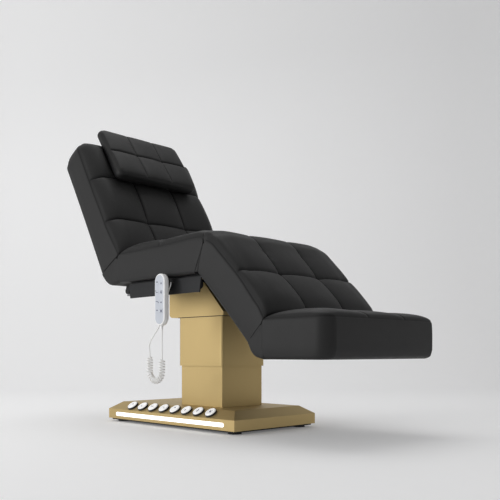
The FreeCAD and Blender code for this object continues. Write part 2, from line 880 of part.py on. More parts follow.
def on_slope(shape, index):
    """Stand a switch piece on the front slope of the plinth."""
    turned = shape.copy()
    turned.rotate(origin, axis_x, math.degrees(slope_angle))
    x = base_shift + (index - (button_count - 1) / 2) * button_pitch
    turned.translate(Vector(x, -base_width / 2 + base_slope_run / 2, (base_ridge + base_top) / 2))
    return turned


def switch_body():
    flange = rod_along(axis_z, button_flange / 2, origin, button_flange_height)
    barrel = rod_along(axis_z, button_barrel / 2, Vector(0, 0, -button_barrel_length), button_barrel_length)
    floor = button_flange_height - button_recess
    recess = rod_along(axis_z, button_cap / 2 + running_fit, Vector(0, 0, floor), button_recess + cut_overrun)
    bore_low = -button_barrel_length + base_wall
    reach = floor - bore_low + cut_overrun
    bore = rod_along(axis_z, button_stem / 2 + running_fit, Vector(0, 0, bore_low), reach)
    return joined([flange, barrel]).cut(Part.Compound([recess, bore]))


def switch_cap():
    low = button_flange_height - button_recess + button_travel + running_fit
    cap = rod_along(axis_z, button_cap / 2, Vector(0, 0, low), button_cap_height)
    upper = [e for e in cap.Edges if e.BoundBox.ZMin > low + button_cap_height / 2]
    cap = cap.makeFillet(button_cap_height * cap_round_share, upper)
    stem_low = -button_barrel_length + base_wall + button_travel + running_fit * 4
    stem = rod_along(axis_z, button_stem / 2, Vector(0, 0, stem_low), low - stem_low)
    return cap.fuse(stem).removeSplitter()


def light_bar(extra, low, high):
    half = light_length / 2 + extra
    tall = light_height / 2 + extra
    middle = (base_bottom + base_ridge) / 2
    points = rectangle(base_shift - half, base_shift + half, middle - tall, middle + tall)
    return rounded_prism(in_side, points, [tall * stadium_share] * 4, low, high)


def make_base():
    front = -base_width / 2
    shell = hipped(0, base_bottom, base_ridge, base_top)
    hollow = hipped(base_wall, base_bottom + base_wall, base_ridge - base_wall / 2, base_top - base_wall)
    mouth_x = base_length / 2 - base_wall - plate_inset * 2
    mouth_y = base_width / 2 - base_wall - plate_inset * 2
    mouth_low = (base_shift - mouth_x, -mouth_y, base_bottom - cut_overrun)
    mouth = box(mouth_low, (base_shift + mouth_x, mouth_y, base_bottom + base_wall * 2))
    cuts = [hollow, mouth, column_block(running_fit, base_top - base_wall * 4, base_top + cut_overrun)]
    cuts.append(light_bar(running_fit, front - cut_overrun, front + base_wall * 2))
    hole_low = Vector(0, 0, -button_barrel_length)
    hole = rod_along(axis_z, button_barrel / 2 + running_fit, hole_low, button_barrel_length * 2)
    cuts += [on_slope(hole, i) for i in range(button_count)]
    cuts.append(inlet_box(running_fit, 0))
    keep("base_shell", shell.cut(Part.Compound(cuts)))
    keep("light_strip", light_bar(0, front - light_proud, front + base_wall + light_proud))
    keep("switch_bodies", Part.Compound([on_slope(switch_body(), i) for i in range(button_count)]))
    for i in range(button_count):
        keep("foot_button_" + str(i + 1), on_slope(switch_cap(), i))

    half_x = base_length / 2 - plate_inset
    half_y = base_width / 2 - plate_inset
    low = base_bottom - plate_height
    points = rectangle(base_shift - half_x, base_shift + half_x, -half_y, half_y)
    plate = rounded_prism(in_plan, points, [cushion_edge_radius] * 4, low, base_bottom)
    feet = []
    studs = []
    for x in (base_shift - base_length / 2 + foot_inset, base_shift + base_length / 2 - foot_inset):
        for y in (-base_width / 2 + foot_inset, base_width / 2 - foot_inset):
            disc = rod_along(axis_z, foot_diameter / 2, Vector(x, y, 0), low)
            stud = rod_along(axis_z, foot_stud / 2, Vector(x, y, 0), base_bottom + plate_height * 3)
            feet.append(disc.fuse(stud).removeSplitter())
            studs.append(rod_along(axis_z, foot_stud / 2 + running_fit, Vector(x, y, 0), base_top))
    keep("base_plate", plate.cut(Part.Compound(studs)))
    keep("levelling_feet", Part.Compound(feet))
    keep("mains_inlet", inlet_box(0, base_wall).fuse(inlet_flange()).removeSplitter().cut(inlet_socket()))
    half = control_width / 2
    points = rectangle(control_rear, control_rear + control_length, -half, half)
    high = base_bottom + control_height
    keep("control_box", rounded_prism(in_plan, points, [cushion_edge_radius] * 4, base_bottom, high))


def inlet_place():
    return base_shift - base_length / 4, base_width / 2, (base_bottom + base_ridge) / 2


def inlet_box(extra, proud):
    x, y, z = inlet_place()
    wide = inlet_width / 2 + extra
    tall = inlet_height / 2 + extra
    return box((x - wide, y - inlet_depth, z - tall), (x + wide, y + max(proud, cut_overrun), z + tall))


def inlet_flange():
    x, y, z = inlet_place()
    wide = inlet_width / 2 + base_wall * 2
    tall = inlet_height / 2 + base_wall
    points = rectangle(x - wide, x + wide, z - tall, z + tall)
    return rounded_prism(in_side, points, [base_wall] * 4, y, y + base_wall)


def inlet_socket():
    x, y, z = inlet_place()
    wide = inlet_width / 2 - base_wall
    tall = inlet_height / 2 - base_wall
    return box((x - wide, y - inlet_depth * socket_share, z - tall), (x + wide, y + base_wall * 2, z + tall))


# Lift column: fixed column, sleeve, head block and carriage.
def column_block(extra, low, high):
    half_x = column_length / 2 + extra
    half_y = column_width / 2 + extra
    points = rectangle(-half_x, half_x, -half_y, half_y)
    return rounded_prism(in_plan, points, [column_wall + extra] * 4, low, high)


def make_column():
    tube = column_block(0, base_bottom, column_top)
    inside = column_block(running_fit - column_wall, base_bottom - cut_overrun, column_top + cut_overrun)
    keep("lower_column", tube.cut(inside))
    pad = sleeve_gap - running_fit
    low = sleeve_bottom + lift_up + cut_overrun
    pads = []
    for side in (1, -1):
        for place in (1, -1):
            half = frame_tube / 2
            x = side * (column_length + pad) / 2
            y = place * column_width / 4
            pads.append(box((x - pad / 2, y - half, low), (x + pad / 2, y + half, column_top)))
            y = side * (column_width + pad) / 2
            x = place * column_length / 4
            pads.append(box((x - half, y - pad / 2, low), (x + half, y + pad / 2, column_top)))
    keep("glide_pads", Part.Compound(pads))
    tube_top = column_top - carriage_thickness
    half = lift_tube_diameter / 2
    tube = rod_along(axis_z, half, Vector(0, 0, base_bottom), tube_top - base_bottom)
    motor_front = column_length / 2 - column_wall * 2
    motor = box((0, -half, base_bottom), (motor_front, half, base_bottom + lift_motor_height))
    bore_low = base_bottom + frame_tube
    bore = rod_along(axis_z, lift_rod_diameter / 2 + running_fit, Vector(0, 0, bore_low), tube_top)
    keep("lift_actuator", joined([tube, motor]).cut(bore))

    outer = sleeve_gap + sleeve_wall
    sleeve = column_block(outer, sleeve_bottom, block_bottom)
    inside = column_block(sleeve_gap, sleeve_bottom - cut_overrun, block_bottom + cut_overrun)
    keep("column_sleeve", sleeve.cut(inside))
    half_y = column_width / 2 + outer + block_proud
    lip_top = block_bottom + block_lip
    points = [
        (block_rear, block_bottom),
        (block_front, block_bottom),
        (block_front, lip_top),
        (block_slant_top, block_top),
        (block_rear, block_top),
    ]
    cover = rounded_prism(in_side, points, [block_corner, 0, 0, 0, 0], -half_y, half_y)
    w = sleeve_wall
    high = block_top + cut_overrun
    slant = (block_front - block_slant_top) / (block_top - lip_top)
    inner = [
        (block_rear + w, block_bottom + w),
        (block_front - w, block_bottom + w),
        (block_front - w, lip_top - w / 2),
        (block_slant_top - w * 3 / 2 - slant * cut_overrun, high),
        (block_rear + w, high),
    ]
    hollow = rounded_prism(in_side, inner, [block_corner - w, 0, 0, 0, 0], -half_y + w, half_y - w)
    mouth = column_block(sleeve_gap, block_bottom - cut_overrun, block_bottom + w * 2)
    keep("head_block", cover.cut(Part.Compound([hollow, mouth])))

    plate_top = carriage_bottom + carriage_thickness
    plate_front = block_front - (plate_top - lip_top) * slant - w * 2
    plate = box((block_rear + w, -half_y + w, carriage_bottom), (plate_front, half_y - w, plate_top))
    parts = [plate]
    cheek_lane = tilt_lug_lane + plate_thickness + pocket_fit
    for side in (1, -1):
        near = cheek_lane if side > 0 else -cheek_lane - plate_thickness
        half = frame_tube / 2
        cheek = box((tilt_x - half, near, carriage_bottom), (tilt_x + half, near + plate_thickness, tilt_z))
        eye = rod_along(axis_y, half, Vector(tilt_x, near, tilt_z), plate_thickness)
        parts.append(cheek.fuse(eye))
    bore = rod_along(axis_y, tilt_pin_diameter / 2 + running_fit, Vector(tilt_x, -half_y, tilt_z), half_y * 2)
    keep("lift_carriage", joined(parts).cut(bore))
    reach = cheek_lane + plate_thickness
    keep("tilt_pin", rod_along(axis_y, tilt_pin_diameter / 2, Vector(tilt_x, -reach, tilt_z), reach * 2))
    rod_low = tube_top - lift_overlap - lift_up
    rod_run = carriage_bottom - rod_low
    keep("lift_rod", rod_along(axis_z, lift_rod_diameter / 2, Vector(0, 0, rod_low), rod_run))

    x = tilt_x + tilt_arm
    eye_low = tilt_z - frame_tube / 2 - lane_room
    body = rod_along(axis_z, tilt_tube_diameter / 2, Vector(x, 0, plate_top), eye_low - plate_top)
    bore_low = Vector(x, 0, plate_top + lane_room)
    bore = rod_along(axis_z, tilt_rod_diameter / 2 + running_fit, bore_low, block_top)
    keep("tilt_actuator", body.cut(bore))
    low = plate_top + link_room
    rod = rod_along(axis_z, tilt_rod_diameter / 2, Vector(x, 0, low), tilt_z - low)
    eye = rod_along(axis_y, hinge_lug_radius, Vector(x, -rod_eye_width / 2, tilt_z), rod_eye_width)
    half = rod_eye_width / 2 + plate_thickness + pocket_fit
    pin = rod_along(axis_y, hinge_pin_diameter / 2, Vector(x, -half, tilt_z), half * 2)
    keep("tilt_rod", joined([rod, eye, pin]))


# Rails, handset, hook and gland on the seat.
def make_rails():
    outer = half_width - rail_inset
    low = seat_bottom - rail_height
    high = seat_bottom - rail_shadow
    for name, side in (("rail_far", 1), ("rail_near", -1)):
        points = [
            (rail_rear + rail_slope, low),
            (rail_front - rail_slope, low),
            (rail_front, high),
            (rail_rear, high),
        ]
        web_inner = outer - rail_wall
        web = prism(in_side, points[0], points[1:] + [points[0]], web_inner, outer)
        inner = outer - rail_flange
        shelf = box((rail_rear, inner, high - rail_wall), (rail_front, outer, high))
        spacer = box((rail_rear, inner, high), (rail_front, outer - rail_recess, seat_bottom))
        rail = joined([web, shelf, spacer])
        keep(name, rail if side > 0 else rail.mirror(origin, axis_y))


def make_handset():
    half = handset_width / 2
    points = rectangle(handset_x - half, handset_x + half, handset_low, handset_top)
    shell = rounded_prism(in_side, points, [half * stadium_share] * 4, handset_front, handset_back)
    rims = [e for e in shell.Edges if e.BoundBox.YLength < running_fit]
    shell = shell.makeFillet(handset_edge, rims)
    inset = handset_edge + overlay_margin
    recess_rear = handset_front + overlay_thickness
    recess = handset_window(inset, handset_front - cut_overrun, recess_rear)
    keep("handset_shell", shell.cut(recess))
    film = handset_window(inset + overlay_thickness / 4, handset_front, recess_rear)
    keep("handset_overlay", film)
    outer = half_width - rail_inset
    hook_x = handset_x - handset_width / 4
    low = seat_bottom - rail_height * hook_share
    keep("handset_hook", box((hook_x - hook_width, handset_back, low), (hook_x, -outer, low + hook_height)))
    half = gland_width / 2
    points = rectangle(gland_x - half, gland_x + half, -outer - gland_depth, -outer)
    radii = [cord_diameter, cord_diameter, 0, 0]
    keep("cord_gland", rounded_prism(in_plan, points, radii, gland_low, seat_bottom - rail_shadow))


def handset_window(inset, low, high):
    half = handset_width / 2 - inset
    points = rectangle(handset_x - half, handset_x + half, handset_low + inset, handset_top - inset)
    return rounded_prism(in_side, points, [half * stadium_share] * 4, low, high)


# Handset cord: straight lead, curly stretch and tail to the gland.
def arc_edge(start, tangent, end):
    along = end - start
    length = along.Length
    along.normalize()
    side = tangent - along * tangent.dot(along)
    if side.Length < straight_limit:
        return Part.LineSegment(start, end).toShape()
    half_turn = tangent.getAngle(along)
    side.normalize()
    middle = start + along * (length / 2) + side * (length / 2 * math.tan(half_turn / 2))
    return Part.Arc(start, middle, end).toShape()


def biarc(start, tangent, end, end_tangent):
    """Two tangent arcs between two points with given directions."""
    span = end - start
    both = tangent + end_tangent
    a = 2 * (1 - tangent.dot(end_tangent))
    b = 2 * span.dot(both)
    c = -span.dot(span)
    reach = (-b + math.sqrt(b * b - 4 * a * c)) / (2 * a) if a > straight_limit else -c / b
    joint = (start + tangent * reach + end - end_tangent * reach) * 0.5
    turn = joint - start
    at_joint = turn * (2 * tangent.dot(turn) / turn.dot(turn)) - tangent
    return [arc_edge(start, tangent, joint), arc_edge(joint, at_joint, end)]


def tube_on(edges, diameter, start, direction):
    ring = Part.Wire(Part.makeCircle(diameter / 2, start, direction))
    return Part.Wire(edges).makePipeShell([ring], True, False)


def curl_axis(distance):
    """Point and inward direction on the hanging loop's centre line, by length along it."""
    bend = math.pi * loop_radius
    if distance < loop_lead_leg:
        return Vector(loop_lead_x, cord_y, loop_lead_top - distance), Vector(-1, 0, 0)
    centre = Vector(loop_lead_x - loop_radius, cord_y, loop_lead_top - loop_lead_leg)
    if distance < loop_lead_leg + bend:
        angle = (distance - loop_lead_leg) / loop_radius
        out = Vector(math.cos(angle), 0, -math.sin(angle))
        return centre + out * loop_radius, out * -1
    rise = distance - loop_lead_leg - bend
    return centre + Vector(-loop_radius, 0, rise), Vector(1, 0, 0)


def curl_point(share):
    distance = share * loop_length
    centre, inward = curl_axis(distance)
    ends = min(share, 1 - share) * curl_turns
    swell = min(1, ends / curl_ramp)
    swell = swell * swell * (3 - 2 * swell)
    radius = (curl_diameter - cord_diameter) / 2 * swell
    angle = 2 * math.pi * curl_turns * share
    return centre + inward * (radius * math.cos(angle)) + axis_y * (radius * math.sin(angle))


def curl_tangent(share):
    step = 1 / (curl_turns * tangent_steps)
    low = max(0, share - step)
    high = min(1, share + step)
    way = curl_point(high) - curl_point(low)
    return way.normalize()


def least_self_gap(points):
    """Least distance between stretches of the curl that are not neighbours."""
    least = loop_length
    skip = int(points_per_turn / 2)
    for i, one in enumerate(points):
        for other in points[i + skip:i + points_per_turn * gap_turns]:
            least = min(least, one.distanceToPoint(other))
    return least - cord_diameter


def routed_tube(points, diameter):
    """Tube along straight runs and the largest arcs that they allow; prints each radius."""
    edges = []
    last = points[0]
    radii = []
    for i in range(1, len(points) - 1):
        here = points[i]
        before = points[i - 1] - here
        after = points[i + 1] - here
        run = min(before.Length, after.Length)
        before.normalize()
        after.normalize()
        half = before.getAngle(after) / 2
        reach = run * bend_share
        first = here + before * reach
        second = here + after * reach
        radii.append(reach * math.tan(half))
        edges.append(Part.LineSegment(last, first).toShape())
        edges.append(arc_edge(first, before * -1, second))
        last = second
    edges.append(Part.LineSegment(last, points[-1]).toShape())
    print("bend radii", [round(r, 1) for r in radii])
    print("tail length", round(sum(e.Length for e in edges), 1))
    return tube_on(edges, diameter, points[0], points[1] - points[0])


def make_cord():
    top = Vector(loop_lead_x, cord_y, handset_low)
    straight = cord_diameter * 2
    lead = Vector(loop_lead_x, cord_y, loop_lead_top + straight)
    keep("cord_lead", rod_along(axis_z, cord_diameter / 2, lead, top.z - lead.z))
    halves = curl_turns * 2
    shares = [i / halves for i in range(halves + 1)]
    spots = [curl_point(share) for share in shares]
    ways = [curl_tangent(share) for share in shares]
    ways[0] = axis_z * -1
    ways[-1] = axis_z
    edges = [Part.LineSegment(lead, spots[0]).toShape()]
    for i in range(halves):
        edges += biarc(spots[i], ways[i], spots[i + 1], ways[i + 1])
    tail_start = spots[-1] + axis_z * straight
    edges.append(Part.LineSegment(spots[-1], tail_start).toShape())
    keep("cord_curl", tube_on(edges, cord_diameter, lead, axis_z * -1))
    print("lead length", round(top.z - lead.z, 1), "curl length", round(sum(e.Length for e in edges), 1))
    count = curl_turns * points_per_turn
    dense = [curl_point(i / count) for i in range(count + 1)]
    print("least gap of the curl to itself", round(least_self_gap(dense), 2))
    route = [tail_start] + [Vector(x, -half_width - out, z) for x, out, z in tail_route]
    route.append(Vector(gland_x, route[-1].y, gland_low))
    keep("cord_tail", routed_tube(route, cord_diameter))


def write_parts():
    os.makedirs("parts", exist_ok=True)
    for name, shape in nodes.items():
        shape.exportStep("parts/" + name + ".step")


make_base()
make_column()
make_rails()
make_handset()
make_cord()
make_seat()
make_back()
make_calf()
make_foot()
make_folds()
make_actuators()
write_parts()
print(len(nodes), "pieces;", [name for name, shape in nodes.items() if not shape.isValid()], "not valid")
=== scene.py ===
"""Dresses the electric treatment bed: cushions, soft folds, gold, switches, handset and curly cord."""

import json
import math

import bmesh
import bpy
from bpy.props import FloatProperty, FloatVectorProperty, IntProperty, PointerProperty
from mathutils import Matrix, Vector, noise


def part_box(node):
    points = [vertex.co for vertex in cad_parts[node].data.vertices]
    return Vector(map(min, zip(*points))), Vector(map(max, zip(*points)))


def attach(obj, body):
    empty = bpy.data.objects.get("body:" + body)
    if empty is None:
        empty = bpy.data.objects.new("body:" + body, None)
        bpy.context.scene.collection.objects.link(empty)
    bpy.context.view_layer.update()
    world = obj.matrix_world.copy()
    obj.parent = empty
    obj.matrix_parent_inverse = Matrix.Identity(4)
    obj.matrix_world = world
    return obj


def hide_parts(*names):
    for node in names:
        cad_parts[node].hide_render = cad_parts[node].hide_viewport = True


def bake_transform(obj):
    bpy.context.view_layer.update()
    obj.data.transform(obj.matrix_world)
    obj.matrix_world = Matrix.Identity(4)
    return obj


bl_info = {
    "name": "Electric treatment bed",
    "version": (1, 0, 0),
    "blender": (4, 5, 0),
    "location": "View3D > Sidebar > Bed",
    "description": "Cushions, finishes, switches, handset cord and studio of an electric treatment bed",
    "category": "Object",
}

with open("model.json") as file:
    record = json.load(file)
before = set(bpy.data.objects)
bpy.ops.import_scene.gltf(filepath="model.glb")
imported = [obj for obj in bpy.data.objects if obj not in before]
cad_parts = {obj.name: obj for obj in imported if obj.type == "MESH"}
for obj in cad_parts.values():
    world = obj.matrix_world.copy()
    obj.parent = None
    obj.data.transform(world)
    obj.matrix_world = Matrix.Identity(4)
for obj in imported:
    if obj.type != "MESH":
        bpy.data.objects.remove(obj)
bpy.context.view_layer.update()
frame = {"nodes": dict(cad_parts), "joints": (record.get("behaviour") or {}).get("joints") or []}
joints = {joint["name"]: joint for joint in frame["joints"]}
back_hinge = Vector(joints["back_recline"]["pos_m"])
knee_hinge = Vector(joints["leg_lift"]["pos_m"])
bend_hinge = Vector(joints["foot_level"]["pos_m"])
press_axis = Vector(joints["press_1"]["axis"])

# Sizes of the padded sections, in metres, as in the frame's own solids.
half_width = 0.320
hinge_drop = 0.016
cushion_gap = 0.0015
corner_radius = 0.052
edge_radius = 0.012
lug_lane = 0.216
plate_lane = 0.226
plate_thickness = 0.008
link_lane = 0.150
link_thickness = 0.010
pocket_margin = 0.052
pocket_rise = 0.041
slot_room = 0.003
link_room = 0.004
back_turn = math.radians(60)
calf_turn = math.radians(45)


def length_of(name, description, default):
    return FloatProperty(name=name, description=description, default=default, unit="LENGTH")


def colour_of(name, description, *default):
    return FloatVectorProperty(
        name=name, description=description, subtype="COLOR", size=4, default=(*default, 1)
    )


class BedSizes(bpy.types.PropertyGroup):
    """Sizes of the upholstery and the cord."""

    seam_level: FloatProperty(
        name="Seam level",
        description="Height of the pillow's inner seams as a share of its crown",
        default=0.52,
        min=0,
        max=1,
        subtype="FACTOR",
    )
    seam_width: length_of("Seam width", "Half width of a sewn seam's groove", 0.0048)
    seam_depth: length_of("Seam depth", "Depth of a sewn seam's groove", 0.0048)
    pucker: length_of("Pucker", "Height of the small ripples beside a seam", 0.0005)
    lobe_cells: IntProperty(
        name="Cells per tile", description="Mesh cells along a quilted tile", default=28, min=8, max=60
    )
    cord_diameter: length_of("Cord diameter", "Thickness of the handset cord", 0.005)
    curl_diameter: length_of("Curl diameter", "Outside diameter of the cord's curls", 0.025)
    curl_turns: IntProperty(
        name="Curls", description="Number of curls in the hanging loop", default=22, min=4, max=60
    )


class BedColours(bpy.types.PropertyGroup):
    """Colours of the finishes, as linear values."""

    leather: colour_of("Leather", "Black upholstery", 0.0125, 0.0123, 0.0123)
    gold: colour_of("Gold", "Brushed gold sheet metal", 0.52, 0.392, 0.184)
    black_metal: colour_of("Black metal", "Powder-coated frames", 0.014, 0.0145, 0.016)
    white_plastic: colour_of("White plastic", "Handset and switch caps", 0.97, 0.97, 0.965)
    overlay: colour_of("Overlay", "Film on the handset", 0.58, 0.61, 0.67)
    symbol: colour_of("Symbol", "Signs on the handset", 0.045, 0.055, 0.11)
    cap_sign: colour_of("Cap sign", "Signs on the switch caps", 0.20, 0.21, 0.27)
    sheath: colour_of("Sheath", "Handset cord", 0.97, 0.97, 0.955)
    floor: colour_of("Floor", "Studio floor and wall", 0.87, 0.87, 0.875)


# Small helpers for meshes and placement.
def place_of(origin, along_degrees):
    """Matrix of a section: X along it, Y across the bed, Z out of its padded face."""
    turn = math.radians(along_degrees)
    along = Vector((math.cos(turn), 0, math.sin(turn)))
    across = Vector((0, 1, 0)) if math.cos(turn) > 0 else Vector((0, -1, 0))
    out = along.cross(across)
    matrix = Matrix((along, across, out)).transposed().to_4x4()
    matrix.translation = origin
    return matrix


def upward(angle):
    """Direction in the side plane, turned by an angle from straight up towards the foot end."""
    return Vector((math.sin(angle), 0, math.cos(angle)))


def add_piece(name, mesh, material, smooth=True):
    piece = bpy.data.objects.new(name, mesh)
    bpy.context.scene.collection.objects.link(piece)
    piece.data.materials.clear()
    piece.data.materials.append(material)
    if smooth:
        mesh.shade_smooth()
    return piece


def mesh_of(name, build):
    """Mesh made by a function that fills a bmesh."""
    grid = bmesh.new()
    build(grid)
    bmesh.ops.recalc_face_normals(grid, faces=grid.faces)
    mesh = bpy.data.meshes.new(name)
    grid.to_mesh(mesh)
    grid.free()
    return mesh


def skin(grid, first, second):
    """Faces between two closed rings of verts."""
    count = len(first)
    for k in range(count):
        after = (k + 1) % count
        grid.faces.new((first[k], first[after], second[after], second[k]))


def loft(grid, rings):
    """Skin rings of equal count and close both ends."""
    made = [[grid.verts.new(point) for point in ring] for ring in rings]
    for first, second in zip(made, made[1:]):
        skin(grid, first, second)
    grid.faces.new(list(reversed(made[0])))
    grid.faces.new(made[-1])


def turned(grid, centre, right, up, out, profile, count):
    """Turned solid about an axis through a centre, from radius and height pairs."""
    rings = []
    for radius, height in profile:
        ring = []
        for k in range(count):
            turn = 2 * math.pi * k / count
            flat = right * math.cos(turn) + up * math.sin(turn)
            ring.append(centre + flat * radius + out * height)
        rings.append(ring)
    loft(grid, rings)


def sheet_faces(grid, rows):
    """Faces of a sheet of verts; gives the row and column numbers round its rim."""
    last_i = len(rows) - 1
    last_j = len(rows[0]) - 1
    for i in range(last_i):
        for j in range(last_j):
            grid.faces.new((rows[i][j], rows[i + 1][j], rows[i + 1][j + 1], rows[i][j + 1]))
    rim = [(i, 0) for i in range(last_i + 1)]
    rim += [(last_i, j) for j in range(1, last_j + 1)]
    rim += [(i, last_j) for i in range(last_i - 1, -1, -1)]
    rim += [(0, j) for j in range(last_j - 1, 0, -1)]
    return rim


def carve(piece, boxes):
    """Cut boxes, given as place, low and high, out of a closed piece."""

    def build(grid):
        for place, low, high in boxes:
            for corner in bmesh.ops.create_cube(grid, size=1)["verts"]:
                point = [low[i] if corner.co[i] < 0 else high[i] for i in range(3)]
                corner.co = place @ Vector(point)

    cutter_mesh = mesh_of(piece.name + "_cutter", build)
    cutter = bpy.data.objects.new(piece.name + "_cutter", cutter_mesh)
    bpy.context.scene.collection.objects.link(cutter)
    cut = piece.modifiers.new("Carve", "BOOLEAN")
    cut.operation = "DIFFERENCE"
    cut.solver = "EXACT"
    cut.use_self = True
    cut.object = cutter
    apply_modifiers(piece)
    bpy.data.objects.remove(cutter)
    bpy.data.meshes.remove(cutter_mesh)


def apply_modifiers(piece):
    graph = bpy.context.evaluated_depsgraph_get()
    evaluated = piece.evaluated_get(graph)
    mesh = bpy.data.meshes.new_from_object(evaluated, depsgraph=graph)
    old = piece.data
    piece.modifiers.clear()
    piece.data = mesh
    bpy.data.meshes.remove(old)


# Shader groups that several finishes share.
def new_group(name, inputs, outputs):
    group = bpy.data.node_groups.new(name, "ShaderNodeTree")
    for label, kind, value in inputs:
        socket = group.interface.new_socket(name=label, in_out="INPUT", socket_type=kind)
        if value is not None:
            socket.default_value = value
    for label, kind in outputs:
        group.interface.new_socket(name=label, in_out="OUTPUT", socket_type=kind)
    return group, group.nodes.new("NodeGroupInput"), group.nodes.new("NodeGroupOutput")


def feed(tree, socket, value):
    """Link another socket to a socket, or set its constant."""
    if isinstance(value, bpy.types.NodeSocket):
        tree.links.new(value, socket)
    else:
        socket.default_value = value


def math_node(tree, operation, first, second):
    node = tree.nodes.new("ShaderNodeMath")
    node.operation = operation
    feed(tree, node.inputs[0], first)
    feed(tree, node.inputs[1], second)
    return node.outputs[0]


def noise_node(tree, vector, scale, detail=4, roughness=0.55):
    node = tree.nodes.new("ShaderNodeTexNoise")
    node.inputs["Detail"].default_value = detail
    node.inputs["Roughness"].default_value = roughness
    feed(tree, node.inputs["Scale"], scale)
    tree.links.new(vector, node.inputs["Vector"])
    return node.outputs["Fac"]


def range_node(tree, value, low, high, begin=0.0, end=1.0, smooth=False):
    """Value that goes from low to high while another goes from begin to end."""
    node = tree.nodes.new("ShaderNodeMapRange")
    if smooth:
        node.interpolation_type = "SMOOTHSTEP"
    limits = (("From Min", begin), ("From Max", end), ("To Min", low), ("To Max", high))
    for name, limit in limits:
        node.inputs[name].default_value = limit
    tree.links.new(value, node.inputs["Value"])
    return node.outputs["Result"]


def mix_node(tree, factor, first, second):
    """Blend of two colours."""
    node = tree.nodes.new("ShaderNodeMix")
    node.data_type = "RGBA"
    for name, value in (("Factor", factor), ("A", first), ("B", second)):
        feed(tree, node.inputs[name], value)
    return node.outputs["Result"]


def shade_of(colour, share):
    return [min(1, channel * share) for channel in colour[:3]] + [1]


def hide_grain_group():
    """Pebbled leather grain with soft creases: a height and a wear mask."""
    group, given, result = new_group(
        "HideGrain",
        [("Pebble Scale", "NodeSocketFloat", 620.0), ("Crease Scale", "NodeSocketFloat", 22.0)],
        [("Height", "NodeSocketFloat"), ("Mottle", "NodeSocketFloat")],
    )
    place = group.nodes.new("ShaderNodeTexCoord").outputs["Object"]
    cells = group.nodes.new("ShaderNodeTexVoronoi")
    cells.feature = "SMOOTH_F1"
    group.links.new(place, cells.inputs["Vector"])
    group.links.new(given.outputs["Pebble Scale"], cells.inputs["Scale"])
    pebble = math_node(group, "MULTIPLY", cells.outputs["Distance"], 0.5)
    creases = noise_node(group, place, given.outputs["Crease Scale"], 6, 0.6)
    fine = noise_node(group, place, 1500.0, 2)
    height = math_node(group, "ADD", pebble, math_node(group, "MULTIPLY", fine, 0.25))
    height = math_node(group, "ADD", height, math_node(group, "MULTIPLY", creases, 0.35))
    group.links.new(height, result.inputs["Height"])
    group.links.new(creases, result.inputs["Mottle"])
    return group


def brush_group():
    """Fine straight brush lines: a height and a tone."""
    group, given, result = new_group(
        "BrushLines",
        [("Stretch", "NodeSocketVector", (900.0, 900.0, 6.0))],
        [("Height", "NodeSocketFloat"), ("Tone", "NodeSocketFloat")],
    )
    place = group.nodes.new("ShaderNodeTexCoord").outputs["Object"]
    scaled = group.nodes.new("ShaderNodeVectorMath")
    scaled.operation = "MULTIPLY"
    group.links.new(place, scaled.inputs[0])
    group.links.new(given.outputs["Stretch"], scaled.inputs[1])
    lines = noise_node(group, scaled.outputs[0], 1.0, 5, 0.7)
    cloud = noise_node(group, place, 3.2, 2)
    lines_part = math_node(group, "MULTIPLY", lines, 0.7)
    cloud_part = math_node(group, "MULTIPLY", cloud, 0.3)
    tone = math_node(group, "ADD", lines_part, cloud_part)
    group.links.new(lines, result.inputs["Height"])
    group.links.new(tone, result.inputs["Tone"])
    return group


def fine_texture_group():
    """Fine moulded or sprayed texture with a faint cloud: a height and a tone."""
    group, given, result = new_group(
        "FineTexture",
        [("Scale", "NodeSocketFloat", 900.0)],
        [("Height", "NodeSocketFloat"), ("Tone", "NodeSocketFloat")],
    )
    place = group.nodes.new("ShaderNodeTexCoord").outputs["Object"]
    group.links.new(noise_node(group, place, given.outputs["Scale"], 3), result.inputs["Height"])
    group.links.new(noise_node(group, place, 14.0, 3), result.inputs["Tone"])
    return group


# Share of the colour kept in the painted shade along seams; then the brush lines' stretch along and
# across.
painted_seam_shade = 0.2
brush_long = 5.0
brush_fine = 1100.0
finishes = {}


def shaded_material(
    name, colour, group, tones, roughness, bump, metallic=0.0, stretch=None, specular=0.5, sewn=False
):
    """Principled finish whose colour, roughness and bump come from a shared group's height and tone."""
    material = bpy.data.materials.new(name)
    material.use_nodes = True
    tree = material.node_tree
    shader = tree.nodes["Principled BSDF"]
    shader.inputs["Metallic"].default_value = metallic
    shader.inputs["Specular IOR Level"].default_value = specular
    texture = tree.nodes.new("ShaderNodeGroup")
    texture.node_tree = group
    if stretch:
        texture.inputs["Stretch"].default_value = stretch
    height, tone = texture.outputs
    toned = mix_node(tree, tone, shade_of(colour, tones[0]), shade_of(colour, tones[1]))
    # Painted shade along the seams, read from the mesh's seam mask.
    if sewn:
        toned = paint_seam_shade(tree, toned, colour)
    tree.links.new(toned, shader.inputs["Base Color"])
    tree.links.new(range_node(tree, tone, *roughness), shader.inputs["Roughness"])
    raised = tree.nodes.new("ShaderNodeBump")
    raised.inputs["Strength"].default_value = bump[0]
    raised.inputs["Distance"].default_value = bump[1]
    tree.links.new(height, raised.inputs["Height"])
    tree.links.new(raised.outputs["Normal"], shader.inputs["Normal"])
    return material


def paint_seam_shade(tree, toned, colour):
    """Painted shade: darken a colour where the mesh's seam mask marks a seam groove, an edge seam or an
    end gap, standing in for the shade that falls in them.
    """
    line = tree.nodes.new("ShaderNodeAttribute")
    line.attribute_name = "seam"
    return mix_node(tree, line.outputs["Fac"], toned, shade_of(colour, painted_seam_shade))


